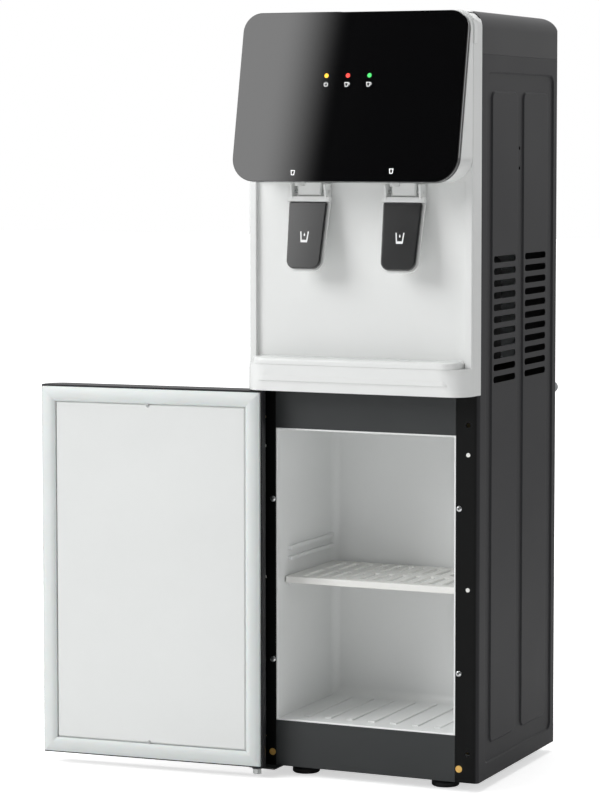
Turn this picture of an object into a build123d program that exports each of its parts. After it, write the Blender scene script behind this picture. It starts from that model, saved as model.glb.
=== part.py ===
from build123d import *
import math
import os

os.makedirs("parts", exist_ok=True)

# ---------------------------------------------------------------------------
# Floor-standing water cooler with a cabinet in its lower half, in millimetres.
# Origin: on the floor, under the middle of the cabinet's footprint.
# +X is the viewer's right, -Y is the front, +Z is up.
# ---------------------------------------------------------------------------

# ----- driving dimensions: the cabinet -----
cabinet_width = 330.0
cabinet_depth = 306.0
foot_height = 14.0
side_panel_height = 974.3
cap_height = 57.7
kick_height = 63.4
opening_height = 405.0
beam_height = 54.6
post_width = 32.4
post_return = 12.0
upper_flange = 14.0
sheet = 1.0
bend_radius = 6.0
back_bend_radius = 3.0
seat_gap = 0.3          # between pieces that are set in or against each other
running_gap = 0.05      # radial, between a pin and its bore

# ----- driving dimensions: the pressed sides -----
press_depth = 2.0
press_slope = 45.0
field_front_margin = 25.0
field_back_margin = 16.0
field_bottom_margin = 21.0
field_top_margin = 22.3
field_corner = 14.0
pad_gap = 26.0
pad_inset = 23.5
pad_back_inset = 25.5
pad_end_inset = 27.0
pad_corner = 9.0
vent_margin = 5.5
vent_height = 9.0
vent_pitch = 16.2
vent_count = 11
vent_top_drop = 272.8
side_hole_r = 2.5
side_hole_drop = 123.8
side_hole_pitch = 27.5

# ----- driving dimensions: post fittings -----
plug_inset = 15.0
plug_r = 3.0
plug_low_rise = 198.1
plug_high_drop = 25.4
post_hole_low_rise = 39.0
post_hole_high_drop = 40.0
rivet_inset = 27.8
rivet_head_r = 4.2
rivet_head_height = 1.8
rivet_shank_r = 2.0
rivet_shank_length = 7.0
rivet_dimple_r = 1.5
rivet_low_rise = 84.4
rivet_high_drop = 98.1
brass_screw_inset = 27.0
brass_screw_rise = 18.2
brass_head_r = 4.8
brass_head_proud = 0.2
brass_shank_r = 2.0
brass_shank_length = 9.0

# ----- driving dimensions: liner and shelf -----
machine_room_depth = 117.0
liner_wall = 2.5
liner_corner = 14.0
liner_front_round = 1.6
rail_height = 5.0
rail_reach = 5.0
shelf_rail_rise = 183.2
upper_rail_rise = 217.9
top_rail_rise = 232.8
rail_front_setback = 34.0
rail_back_setback = 8.0
floor_rib_count = 7
floor_rib_width = 9.0
floor_rib_height = 1.6
floor_rib_setback = 24.0
insulation_front_setback = 16.0
insulation_back = 8.0
insulation_over = 26.0
insulation_under = 28.0
shelf_height = 9.2
shelf_plate = 3.0
shelf_rim = 4.0
shelf_side_gap = 1.6
shelf_front_setback = 20.0
shelf_back_gap = 4.0
shelf_slot_width = 9.0
shelf_side_land = 28.7
shelf_slot_columns = 11
shelf_slot_rows = 2
shelf_bridge = 14.0

# ----- driving dimensions: door -----
door_gap_top = 1.5
door_gap_bottom = 2.0
door_depth = 34.0
door_edge_radius = 26.0
door_skin_wall = 2.5
gasket_width = 20.0
gasket_height = 8.0
gasket_inset = 2.5
gasket_clearance = 0.5
gasket_edge_drop = 3.4
inner_panel_wall = 2.0
inner_panel_rise = 4.2
door_open_angle = 175.9
hinge_side_offset = 13.5
hinge_front_offset = 21.7
hinge_pin_r = 4.0
hinge_pin_reach = 20.0
hinge_head_r = 6.5
hinge_head_height = 7.0
hinge_plate_thickness = 2.0
hinge_plate_width = 40.0
hinge_plate_back = 46.0
hinge_plate_edge = 1.5
hinge_nose_r = 7.0
upper_plate_edge = 6.0
upper_leg_edge = 8.0
upper_leg_reach = 28.0
upper_leg_height = 24.0
bush_wall = 2.0
bush_length = 18.0

# ----- driving dimensions: feet and base -----
foot_r = 19.0
foot_neck_r = 14.0
foot_base_height = 8.0
foot_inset = 61.0
foot_front_setback = 38.0
foot_stud_r = 4.0
foot_stud_length = 22.0
pan_wall = 1.2
pan_rim = 13.0

# ----- driving dimensions: front fascia -----
fascia_depth = 20.0
fascia_wrap = 7.0
fascia_wall = 2.5
fascia_draft = 2.4
frame_width = 10.0
niche_depth = 6.0
shoulder_radius = 22.0
base_height = 37.0
base_bottom_reach = 42.0
base_top_reach = 52.0
base_bottom_corner = 26.0
base_top_corner = 40.0

# ----- driving dimensions: drip tray -----
tray_overhang = 0.5
tray_side_inset = 15.0
tray_lip_height = 9.5
tray_edge_round = 5.0
tray_corner = 22.0
tray_wall = 2.0
basin_side_inset = 12.0
basin_front_inset = 9.5
basin_corner = 8.0
basin_sink = 18.0
cover_thickness = 2.0
cover_ledge = 4.0
tray_slot_length = 14.0
tray_slot_width = 7.0

# ----- driving dimensions: head and display -----
head_height = 225.5
head_side_inset = 2.5
head_wall = 2.5
head_top_corner = 26.0
head_bottom_corner = 33.0
panel_tilt = 11.58
panel_bottom_reach = 78.6
glass_thickness = 4.0
bezel_thickness = 6.0
bezel_inset = 0.8
bezel_ring = 14.0
lens_r = 3.0
lens_z = 960.8
lens_pitch = 31.0
lens_centre_x = -3.3
board_height = 26.0
board_width = 90.0
board_thickness = 1.6

# ----- driving dimensions: levers and taps -----
tap_x = 68.6
pivot_reach = 24.0
pivot_drop = 14.0
pivot_pin_r = 2.0
pad_top_half = 28.0
pad_bottom_half = 24.5
pad_length = 91.0
pad_thickness = 5.0
pad_bottom_corner = 12.0
pad_top_corner = 2.5
pad_edge_round = 2.0
pad_top_reach = 34.0
pad_top_drop = 27.5
lever_tilt = 11.7
carrier_border = 2.5
carrier_thickness = 3.0
bar_height = 7.0
ear_inner = 23.5
ear_thickness = 3.0
ear_front_reach = 37.0
ear_back_reach = 17.0
ear_top_drop = 3.0
ear_corner = 2.0
block_half_width = 17.6
block_reach = 30.0
block_depth = 14.0
block_height = 20.0
block_edge_round = 3.0
spout_r = 7.0
spout_bore_r = 4.0
spout_reach = 60.0
spout_drop = 6.0
valve_r = 13.0
valve_height = 26.0

# ----- driving dimensions: cap, seat and tanks -----
cap_wall = 3.0
cap_back_round = 24.0
seat_y = 6.0
seat_flange_r = 124.0
seat_top_r = 108.0
seat_floor_r = 62.0
seat_depth = 82.0
seat_wall = 2.5
seat_flange = 1.6
spike_r = 14.0
spike_height = 58.0
spike_tip_r = 5.0
spike_stem_r = 10.0
spike_stem_length = 16.0
cold_tank_r = 85.0
cold_tank_height = 130.0
cold_tank_gap = 10.0
tank_wall = 1.2
jacket_wall = 22.0
jacket_floor = 20.0
hot_tank_r = 55.0
hot_tank_height = 150.0
tank_edge_round = 8.0
hot_tank_edge_round = 12.0
hot_tank_y = 30.0
hot_tank_rise = 42.0
deck_plate = 1.5
deck_side_margin = 8.0
deck_reach = 86.0
deck_flange = 66.0
pipe_r = 4.0
pipe_bend = 14.0
cold_port_x = -20.0
cold_port_drop = 45.0
hot_port_rise = 60.0
drain_drop = 14.0
drain_inset = 12.0
drain_bend = 12.0
drain_r = 8.0
drain_cap_length = 22.0
drain_pipe_r = 4.0
drain_spigot_length = 14.0

# ----- driving dimensions: refrigeration and electrics -----
compressor_half_x = 68.0
compressor_half_y = 44.0
compressor_height = 138.0
compressor_dome = 26.0
compressor_foot_gap = 12.0
compressor_back_gap = 4.0
compressor_lug = 14.0
compressor_lug_half_y = 30.0
compressor_lug_height = 3.0
mount_r = 8.0
mount_inset_x = 4.0
mount_half_y = 22.0
back_panel_bottom = 236.0
condenser_side_gap = 37.0
condenser_tube_r = 2.4
condenser_pass_pitch = 56.0
condenser_passes = 10
condenser_bottom = 305.0
condenser_standoff = 14.0
condenser_wire_r = 0.9
condenser_wires = 9
condenser_wire_overrun = 10.0
condenser_wire_inset = 12.0
bracket_inset = 4.0
bracket_half_width = 5.0
bracket_half_height = 6.0
switch_wall = 1.5
switch_flange = 2.0
switch_width = 14.0
switch_height = 22.0
switch_depth = 14.0
switch_z = 900.0
switch_inset = 105.0
switch_pitch = 34.0
rocker_tilt = 9.0
rocker_depth = 7.0
rocker_rise = 1.6
rocker_dip = 0.4
rocker_end_gap = 2.2
inlet_wall = 3.0
blade_half = 1.0
blade_half_height = 2.0
blade_pitch = 7.0
inlet_width = 28.0
inlet_height = 21.0
inlet_depth = 20.0
inlet_z = 262.0
inlet_inset = 60.0

# ---------------------------------------------------------------------------
# levels and planes that follow from the driving dimensions
# ---------------------------------------------------------------------------
half_width = cabinet_width / 2
front_y = -cabinet_depth / 2
back_y = cabinet_depth / 2
body_bottom = foot_height
kick_top = body_bottom + kick_height
opening_top = kick_top + opening_height
fascia_bottom = opening_top + beam_height
side_top = body_bottom + side_panel_height
top_z = side_top + cap_height
post_inner_x = half_width - post_width
head_bottom = top_z - head_height
fascia_front_y = front_y - fascia_depth
fascia_back_y = front_y + fascia_wrap
ledge_top = fascia_bottom + base_height
plug_x = half_width - plug_inset
plug_heights = (kick_top + plug_low_rise, opening_top - plug_high_drop)
post_hole_heights = (body_bottom + post_hole_low_rise, fascia_bottom - post_hole_high_drop)
rivet_x = half_width - rivet_inset
rivet_heights = (kick_top + rivet_low_rise, opening_top - rivet_high_drop)
brass_screw_x = half_width - brass_screw_inset
brass_screw_z = body_bottom + brass_screw_rise
vent_top_z = side_top - vent_top_drop
side_hole_heights = (side_top - side_hole_drop - side_hole_pitch, side_top - side_hole_drop)
rail_levels = (kick_top + shelf_rail_rise, kick_top + upper_rail_rise, kick_top + top_rail_rise)
drain_x = half_width - drain_inset
drain_z = fascia_bottom - drain_drop
inlet_x = -half_width + inlet_inset
switch_x = half_width - switch_inset

ALIGN_LOW = (Align.CENTER, Align.CENTER, Align.MIN)


def facing_front(y):
    """A plane at y that looks forward: its local x is X, its local y is Z."""
    return Plane.XZ.offset(-y)


def save(piece, name):
    """Label the piece and write it as one STEP file."""
    piece.label = name
    export_step(piece, f"parts/{name}.step")


def box_between(low, high, mode=Mode.ADD):
    """A box in the open part, given by two corners."""
    centre = [(a + b) / 2 for a, b in zip(low, high)]
    size = [b - a for a, b in zip(low, high)]
    with Locations(tuple(centre)):
        Box(*size, mode=mode)


def round_tube(points, radii, radius, name):
    """A solid tube along straight runs joined by tangent arcs."""
    with BuildPart() as tube:
        with BuildLine() as route:
            FilletPolyline(*points, radius=radii)
        start = route.wires()[0]
        with BuildSketch(Plane(origin=start @ 0, z_dir=start % 0)):
            Circle(radius)
        sweep(path=start)
    save(tube.part, name)
    return tube.part


# ---------------------------------------------------------------------------
# base pan and feet
# ---------------------------------------------------------------------------
pan_half_width = half_width - sheet - seat_gap
pan_front_y = front_y + sheet + seat_gap
pan_back_y = back_y - sheet - seat_gap

foot_x = half_width - foot_inset
foot_back_y = back_y - foot_front_setback
foot_front_y = front_y + foot_front_setback
foot_places = [(x, y) for y in (foot_front_y, foot_back_y) for x in (-foot_x, foot_x)]


def pan_plan(inset):
    """Plan of the base pan, shrunk by an inset."""
    with BuildSketch(mode=Mode.PRIVATE) as plan:
        with Locations((0, (pan_front_y + pan_back_y) / 2)):
            Rectangle(2 * (pan_half_width - inset), pan_back_y - pan_front_y - 2 * inset)
        fillet(plan.vertices().group_by(Axis.Y)[0], bend_radius - inset)
        fillet(plan.vertices().group_by(Axis.Y)[-1], back_bend_radius - inset)
    return plan.sketch


with BuildPart() as base_pan:
    with BuildSketch(Plane.XY.offset(body_bottom)):
        add(pan_plan(0.0))
    extrude(amount=pan_rim)
    with BuildSketch(Plane.XY.offset(body_bottom + pan_wall)):
        add(pan_plan(pan_wall))
    extrude(amount=pan_rim - pan_wall, mode=Mode.SUBTRACT)
    with BuildSketch(Plane.XY.offset(body_bottom)):
        with Locations(*foot_places):
            Circle(foot_stud_r + seat_gap)
    extrude(amount=pan_wall, mode=Mode.SUBTRACT)
save(base_pan.part, "base_pan")

with BuildPart() as foot:
    with BuildSketch(Plane.XZ):
        with BuildLine():
            Polyline(
                (0, 0),
                (foot_r - 1.5, 0),
                (foot_r, 1.5),
                (foot_r, foot_base_height - 2),
                (foot_r - 2, foot_base_height),
                (foot_neck_r, foot_base_height + 1.5),
                (foot_neck_r, foot_height),
                (foot_stud_r, foot_height),
                (foot_stud_r, foot_height + foot_stud_length),
                (0, foot_height + foot_stud_length),
                close=True,
            )
        make_face()
    revolve(axis=Axis.Z)
save(Compound(children=[foot.part.moved(Location((x, y, 0))) for x, y in foot_places]), "feet")

# ---------------------------------------------------------------------------
# side panels: one folded sheet each, with the front post, a back flange,
# a pressed field with two raised pads, and vent slots
# ---------------------------------------------------------------------------
field_front_y = front_y + field_front_margin
field_back_y = back_y - field_back_margin
field_bottom_z = body_bottom + field_bottom_margin
field_top_z = side_top - field_top_margin
pad_front_y = field_front_y + pad_inset
pad_width = (field_back_y - pad_back_inset - pad_front_y - pad_gap) / 2
vent_length = pad_width - 2 * vent_margin
pad_centres_y = (pad_front_y + pad_width / 2, pad_front_y + 1.5 * pad_width + pad_gap)
pad_bottom_z = field_bottom_z + pad_end_inset
pad_top_z = field_top_z - pad_end_inset
field_centre = ((field_front_y + field_back_y) / 2, (field_bottom_z + field_top_z) / 2)
field_size = (field_back_y - field_front_y, field_top_z - field_bottom_z)
press_block = 3 * press_depth
press_margin = 2 * press_depth

with BuildPart() as press_form:
    with BuildSketch(Plane.YZ.offset(half_width - press_block)):
        with Locations(field_centre):
            Rectangle(field_size[0] + 2 * press_margin, field_size[1] + 2 * press_margin)
    extrude(amount=press_block)
    with BuildSketch(Plane(origin=(half_width, 0, 0), x_dir=(0, 1, 0), z_dir=(-1, 0, 0))):
        with Locations((field_centre[0], -field_centre[1])):
            RectangleRounded(field_size[0], field_size[1], field_corner)
    extrude(amount=press_depth, taper=press_slope, mode=Mode.SUBTRACT)
    with BuildSketch(Plane.YZ.offset(half_width - press_depth)):
        for pad_centre_y in pad_centres_y:
            with Locations((pad_centre_y, (pad_bottom_z + pad_top_z) / 2)):
                RectangleRounded(
                    pad_width + 2 * press_depth,
                    pad_top_z - pad_bottom_z + 2 * press_depth,
                    pad_corner + press_depth,
                )
    extrude(amount=press_depth, taper=press_slope)

with BuildPart() as side_panel_right:
    with BuildSketch(Plane.XY.offset(body_bottom)) as section:
        with Locations((post_inner_x, front_y)):
            Rectangle(post_width, cabinet_depth, align=(Align.MIN, Align.MIN))
        fillet(section.vertices().group_by(Axis.X)[-1].sort_by(Axis.Y)[0], bend_radius)
        fillet(section.vertices().group_by(Axis.X)[-1].sort_by(Axis.Y)[-1], back_bend_radius)
        with BuildSketch(mode=Mode.PRIVATE) as hollow:
            with Locations((post_inner_x - sheet, front_y + sheet)):
                Rectangle(post_width, cabinet_depth - 2 * sheet, align=(Align.MIN, Align.MIN))
            fillet(hollow.vertices().group_by(Axis.X)[-1].sort_by(Axis.Y)[0], bend_radius - sheet)
            fillet(hollow.vertices().group_by(Axis.X)[-1].sort_by(Axis.Y)[-1], back_bend_radius - sheet)
        add(hollow.sketch, mode=Mode.SUBTRACT)
        with Locations((post_inner_x, front_y)):
            Rectangle(sheet, post_return, align=(Align.MIN, Align.MIN))
    extrude(amount=side_panel_height)
    # the post return starts over the base pan, and the front is cut back behind the fascia
    box_between(
        (post_inner_x - sheet, front_y + sheet, body_bottom),
        (post_inner_x + sheet, front_y + 2 * post_return, body_bottom + pan_rim + seat_gap),
        mode=Mode.SUBTRACT,
    )
    box_between(
        (post_inner_x - sheet, front_y - sheet, fascia_bottom - seat_gap),
        (half_width + sheet, fascia_back_y + seat_gap, top_z),
        mode=Mode.SUBTRACT,
    )
    box_between(
        (post_inner_x - sheet, front_y, fascia_bottom - seat_gap),
        (post_inner_x + sheet, front_y + 2 * post_return, top_z),
        mode=Mode.SUBTRACT,
    )
    box_between(
        (half_width - upper_flange, fascia_back_y + seat_gap, fascia_bottom + upper_flange),
        (half_width - sheet / 2, fascia_back_y + seat_gap + sheet, side_top),
    )
    with BuildSketch(Plane.YZ.offset(half_width)):
        with Locations(field_centre):
            Rectangle(field_size[0] + 2 * press_margin, field_size[1] + 2 * press_margin)
    extrude(amount=-2 * sheet, mode=Mode.SUBTRACT)
    add(press_form.part)
    add(press_form.part.moved(Location((-sheet, 0, 0))), mode=Mode.SUBTRACT)
    with BuildSketch(Plane.YZ.offset(half_width)):
        for pad_centre_y in pad_centres_y:
            for step in range(vent_count):
                with Locations((pad_centre_y, vent_top_z - step * vent_pitch)):
                    SlotOverall(vent_length, vent_height)
        for height in side_hole_heights:
            with Locations((sum(pad_centres_y) / 2, height)):
                Circle(side_hole_r)
    extrude(amount=-press_block, mode=Mode.SUBTRACT)
    with BuildSketch(facing_front(front_y)):
        for height in plug_heights + post_hole_heights:
            with Locations((plug_x, height)):
                Circle(plug_r)
        for height in rivet_heights:
            with Locations((rivet_x, height)):
                Circle(rivet_shank_r + seat_gap / 2)
        with Locations((brass_screw_x, brass_screw_z)):
            Circle(brass_shank_r + seat_gap / 2)
    extrude(amount=-sheet, mode=Mode.SUBTRACT)
    with BuildSketch(facing_front(back_y)):
        with Locations((drain_x, drain_z)):
            Circle(drain_pipe_r + seat_gap)
    extrude(amount=2 * sheet, mode=Mode.SUBTRACT)
save(side_panel_right.part, "side_panel_right")
save(mirror(side_panel_right.part, about=Plane.YZ), "side_panel_left")

# ---------------------------------------------------------------------------
# fittings on the posts: white plugs, hollow rivets, brass screws
# ---------------------------------------------------------------------------
with BuildPart() as post_plugs:
    for side in (-1, 1):
        for height in plug_heights:
            with BuildSketch(facing_front(front_y)):
                with Locations((side * plug_x, height)):
                    Circle(plug_r - seat_gap / 3)
            extrude(amount=-3 * sheet)
            with BuildSketch(facing_front(front_y + sheet)):
                with Locations((side * plug_x, height)):
                    Circle(plug_r + sheet)
            extrude(amount=-sheet)
save(post_plugs.part, "post_plugs")

with BuildPart() as rivet:
    with BuildSketch(Plane.XZ):
        with BuildLine():
            Polyline(
                (rivet_dimple_r, -rivet_shank_length),
                (rivet_shank_r, -rivet_shank_length),
                (rivet_shank_r, 0),
                (rivet_head_r, 0),
            )
            ThreePointArc(
                (rivet_head_r, 0),
                (rivet_head_r * 0.78, rivet_head_height * 0.68),
                (rivet_dimple_r, rivet_head_height),
            )
            Line((rivet_dimple_r, rivet_head_height), (rivet_dimple_r, -rivet_shank_length))
        make_face()
    revolve(axis=Axis.Z)
rivet_places = [
    Location((side * rivet_x, front_y, height), (90, 0, 0)) for side in (-1, 1) for height in rivet_heights
]
save(Compound(children=[rivet.part.moved(place) for place in rivet_places]), "post_rivets")

with BuildPart() as brass_screws:
    for side in (-1, 1):
        with BuildSketch(facing_front(front_y - brass_head_proud)):
            with Locations((side * brass_screw_x, brass_screw_z)):
                Circle(brass_head_r)
        extrude(amount=-brass_head_proud)
        with BuildSketch(facing_front(front_y)):
            with Locations((side * brass_screw_x, brass_screw_z)):
                Circle(brass_shank_r)
        extrude(amount=-brass_shank_length)
save(brass_screws.part, "brass_screws")

# ---------------------------------------------------------------------------
# kick panel and beam panel, folded sheets between the posts
# ---------------------------------------------------------------------------
filler_half_width = post_inner_x - seat_gap
filler_return = post_return
beam_top = ledge_top + fascia_wrap


def folded_filler(low_z, high_z, low_fold):
    """A front sheet with its top edge folded back, and its bottom edge as well if asked."""
    with BuildPart() as filler:
        box_between(
            (-filler_half_width, front_y, low_z),
            (filler_half_width, front_y + filler_return, high_z),
        )
        box_between(
            (-filler_half_width, front_y + sheet, low_z + low_fold * sheet),
            (filler_half_width, front_y + filler_return, high_z - sheet),
            mode=Mode.SUBTRACT,
        )
    return filler.part


save(folded_filler(body_bottom, kick_top - seat_gap, False), "kick_panel")
save(folded_filler(opening_top + seat_gap, beam_top, True), "beam_panel")

# ---------------------------------------------------------------------------
# cabinet liner: one vacuum-formed box with shelf rails and floor ribs
# ---------------------------------------------------------------------------
liner_half_width = post_inner_x - seat_gap
liner_front_y = front_y + seat_gap
liner_back_y = back_y - machine_room_depth + liner_wall
liner_bottom = kick_top
liner_top = opening_top
liner_inner_x = liner_half_width - liner_wall
liner_inner_back_y = liner_back_y - liner_wall
liner_floor = liner_bottom + liner_wall
floor_rib_pitch = 2 * liner_inner_x / (floor_rib_count + 1)

with BuildPart() as cabinet_liner:
    box_between(
        (-liner_half_width, liner_front_y, liner_bottom),
        (liner_half_width, liner_back_y, liner_top),
    )
    fillet(cabinet_liner.faces().sort_by(Axis.Y)[-1].edges(), liner_corner)
    offset(amount=-liner_wall, openings=cabinet_liner.faces().sort_by(Axis.Y)[0])
    mouth = cabinet_liner.faces().sort_by(Axis.Y)[0]
    fillet(mouth.inner_wires()[0].edges(), liner_front_round)
    for side in (-1, 1):
        for level in rail_levels:
            inner = side * (liner_inner_x - rail_reach)
            outer = side * (liner_inner_x + liner_wall / 2)
            box_between(
                (min(inner, outer), liner_front_y + rail_front_setback, level),
                (max(inner, outer), liner_inner_back_y - rail_back_setback, level + rail_height),
            )
    for rib in range(floor_rib_count):
        rib_x = (rib - (floor_rib_count - 1) / 2) * floor_rib_pitch
        box_between(
            (rib_x - floor_rib_width / 2, liner_front_y + floor_rib_setback, liner_floor - liner_wall / 2),
            (rib_x + floor_rib_width / 2, liner_inner_back_y - liner_corner, liner_floor + floor_rib_height),
        )
save(cabinet_liner.part, "cabinet_liner")

foam_half_width = half_width - sheet - press_depth - sheet
with BuildPart() as cabinet_insulation:
    box_between(
        (-foam_half_width, front_y + insulation_front_setback, liner_bottom - insulation_under),
        (foam_half_width, liner_back_y + insulation_back, liner_top + insulation_over),
    )
    box_between(
        (-liner_half_width - seat_gap, front_y, liner_bottom - seat_gap),
        (liner_half_width + seat_gap, liner_back_y + seat_gap, liner_top + seat_gap),
        mode=Mode.SUBTRACT,
    )
save(cabinet_insulation.part, "cabinet_insulation")

# ---------------------------------------------------------------------------
# shelf: a slatted plate with a rim, resting on the lowest pair of rails
# ---------------------------------------------------------------------------
shelf_bottom = rail_levels[0] + rail_height + seat_gap / 3
shelf_top = shelf_bottom + shelf_height
shelf_half_width = liner_inner_x - shelf_side_gap
shelf_front_y = liner_front_y + shelf_front_setback
shelf_back_y = liner_inner_back_y - shelf_back_gap
shelf_slot_length = (shelf_back_y - shelf_front_y - shelf_bridge) / shelf_slot_rows - shelf_bridge
shelf_slot_pitch = (2 * shelf_half_width - shelf_side_land) / shelf_slot_columns

with BuildPart() as shelf:
    box_between(
        (-shelf_half_width, shelf_front_y, shelf_bottom),
        (shelf_half_width, shelf_back_y, shelf_top),
    )
    fillet(shelf.edges().filter_by(Axis.Z), shelf_rim)
    box_between(
        (-shelf_half_width + shelf_rim, shelf_front_y + shelf_rim, shelf_bottom),
        (shelf_half_width - shelf_rim, shelf_back_y - shelf_rim, shelf_top - shelf_plate),
        mode=Mode.SUBTRACT,
    )
    front_top_edge = shelf.edges().filter_by(Axis.X).group_by(Axis.Z)[-1].sort_by(Axis.Y)[0]
    fillet(front_top_edge, shelf_plate / 2)
    with BuildSketch(Plane.XY.offset(shelf_top)):
        with Locations((0, (shelf_front_y + shelf_back_y) / 2)):
            with GridLocations(
                shelf_slot_pitch, shelf_slot_length + shelf_bridge, shelf_slot_columns, shelf_slot_rows
            ):
                Rectangle(shelf_slot_width, shelf_slot_length)
    extrude(amount=-shelf_plate, mode=Mode.SUBTRACT)
save(shelf.part, "shelf")

# ---------------------------------------------------------------------------
# door, drawn closed and then swung open about its hinge
# ---------------------------------------------------------------------------
door_bottom = body_bottom + door_gap_bottom
door_top = fascia_bottom - door_gap_top
door_back_y = front_y - gasket_height
door_front_y = door_back_y - door_depth
hinge_x = -half_width + hinge_side_offset
hinge_y = front_y - hinge_front_offset
hinge_axis = Axis((hinge_x, hinge_y, 0), (0, 0, 1))
bush_r = hinge_pin_r + running_gap + bush_wall
door_plan_centre = (0, (door_front_y + door_back_y) / 2)


def swing(piece):
    """Turn a piece of the closed door to the open rest position."""
    return piece.rotate(hinge_axis, -door_open_angle)


with BuildPart() as door_skin:
    with BuildSketch(Plane.XY.offset(door_bottom)) as door_plan:
        with Locations(door_plan_centre):
            Rectangle(cabinet_width, door_depth)
        fillet(door_plan.vertices().group_by(Axis.Y)[0], door_edge_radius)
    extrude(amount=door_top - door_bottom)
    offset(amount=-door_skin_wall, openings=door_skin.faces().sort_by(Axis.Y)[-1])
    with BuildSketch(Plane.XY.offset(door_bottom)):
        with Locations((hinge_x, hinge_y)):
            Circle(bush_r)
    extrude(amount=door_top - door_bottom, mode=Mode.SUBTRACT)
save(swing(door_skin.part), "door_skin")

with BuildPart() as door_bushes:
    for low_z in (door_bottom, door_top - bush_length):
        with BuildSketch(Plane.XY.offset(low_z)):
            with Locations((hinge_x, hinge_y)):
                Circle(bush_r)
                Circle(hinge_pin_r + running_gap, mode=Mode.SUBTRACT)
        extrude(amount=bush_length)
save(swing(door_bushes.part), "door_bushes")

panel_half_width = half_width - door_skin_wall - seat_gap
panel_low_z = door_bottom + door_skin_wall + seat_gap
panel_high_z = door_top - door_skin_wall - seat_gap
with BuildPart() as door_inner_panel:
    box_between(
        (-panel_half_width, door_back_y - inner_panel_wall, panel_low_z),
        (panel_half_width, door_back_y, panel_high_z),
    )
    gasket_inner_x = half_width - gasket_inset - gasket_width
    gasket_margin = gasket_inset + gasket_width + seat_gap
    box_between(
        (-gasket_inner_x + seat_gap, door_back_y, door_bottom + gasket_margin),
        (gasket_inner_x - seat_gap, door_back_y + inner_panel_rise, door_top - gasket_margin),
    )
    chamfer(door_inner_panel.faces().sort_by(Axis.Y)[-1].edges(), inner_panel_rise * 0.6)
save(swing(door_inner_panel.part), "door_inner_panel")

with BuildPart() as door_core:
    with BuildSketch(Plane.XY.offset(door_bottom + door_skin_wall + seat_gap)) as core_plan:
        with Locations((0, (door_front_y + door_back_y + door_skin_wall - inner_panel_wall) / 2)):
            Rectangle(
                cabinet_width - 2 * door_skin_wall - 2 * seat_gap,
                door_depth - door_skin_wall - inner_panel_wall - 2 * seat_gap,
            )
        fillet(core_plan.vertices().group_by(Axis.Y)[0], door_edge_radius - door_skin_wall)
        with Locations((hinge_x, hinge_y)):
            Circle(bush_r + seat_gap, mode=Mode.SUBTRACT)
    extrude(amount=door_top - door_bottom - 2 * door_skin_wall - 2 * seat_gap)
save(swing(door_core.part), "door_core")

# The crown of the gasket is an arc about the hinge pin, so it clears the post in the swing.
gasket_face_y = front_y - gasket_clearance
gasket_outer_x = half_width - gasket_inset
crown_x = hinge_x + gasket_outer_x
crown_arc_r = hinge_front_offset - gasket_clearance


def crown_point(distance):
    """How far the crown lies behind the post plane, at a distance from the gasket's outer edge."""
    return gasket_clearance + crown_arc_r - math.sqrt(crown_arc_r**2 - (crown_x - distance) ** 2)


with BuildPart() as door_gasket:
    with BuildSketch(Plane(origin=(0, 0, (door_bottom + door_top) / 2), z_dir=(0, 0, 1))):
        with BuildLine():
            edge_x = -gasket_outer_x
            Polyline(
                (edge_x, front_y - crown_point(0)),
                (edge_x, door_back_y),
                (edge_x + gasket_width, door_back_y),
                (edge_x + gasket_width, front_y - gasket_edge_drop),
            )
            ThreePointArc(
                (edge_x, front_y - crown_point(0)),
                (edge_x + crown_x / 2, front_y - crown_point(crown_x / 2)),
                (edge_x + crown_x, gasket_face_y),
            )
            ThreePointArc(
                (edge_x + crown_x, gasket_face_y),
                (edge_x + (crown_x + gasket_width) / 2 + 1, gasket_face_y - 0.8),
                (edge_x + gasket_width, front_y - gasket_edge_drop),
            )
        make_face()
    with BuildLine() as gasket_path:
        low_z = door_bottom + gasket_inset
        high_z = door_top - gasket_inset
        Polyline(
            (-gasket_outer_x, door_back_y, (door_bottom + door_top) / 2),
            (-gasket_outer_x, door_back_y, high_z),
            (gasket_outer_x, door_back_y, high_z),
            (gasket_outer_x, door_back_y, low_z),
            (-gasket_outer_x, door_back_y, low_z),
            (-gasket_outer_x, door_back_y, (door_bottom + door_top) / 2),
        )
    sweep(path=gasket_path.wires()[0], transition=Transition.RIGHT)
save(swing(door_gasket.part), "door_gasket")

# ---------------------------------------------------------------------------
# hinge plates and pins
# ---------------------------------------------------------------------------
plate_inner_x = -half_width + hinge_plate_width
lower_plate_z = body_bottom - hinge_plate_thickness
upper_plate_z = fascia_bottom + fascia_wall + seat_gap
upper_leg_inner_x = plate_inner_x + upper_leg_reach


def hinge_plan(low_x, high_x, back):
    """Outline of a hinge plate: a strip with a round nose about the pin."""
    with BuildSketch(mode=Mode.PRIVATE) as plan:
        with Locations((low_x, hinge_y)):
            Rectangle(high_x - low_x, back - hinge_y, align=(Align.MIN, Align.MIN))
        with Locations((hinge_x, hinge_y)):
            Circle(hinge_nose_r)
            Circle(hinge_pin_r + running_gap, mode=Mode.SUBTRACT)
    return plan.sketch


with BuildPart() as lower_hinge_plate:
    with BuildSketch(Plane.XY.offset(lower_plate_z)):
        add(hinge_plan(-half_width + hinge_plate_edge, plate_inner_x, front_y + hinge_plate_back))
    extrude(amount=hinge_plate_thickness)
save(lower_hinge_plate.part, "lower_hinge_plate")

with BuildPart() as upper_hinge_plate:
    with BuildSketch(Plane.XY.offset(upper_plate_z)):
        add(hinge_plan(-half_width + upper_plate_edge, plate_inner_x, front_y))
    extrude(amount=hinge_plate_thickness)
    box_between(
        (-half_width + upper_leg_edge, front_y - hinge_plate_thickness, upper_plate_z),
        (upper_leg_inner_x, front_y, upper_plate_z + upper_leg_height),
    )
save(upper_hinge_plate.part, "upper_hinge_plate")

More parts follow.
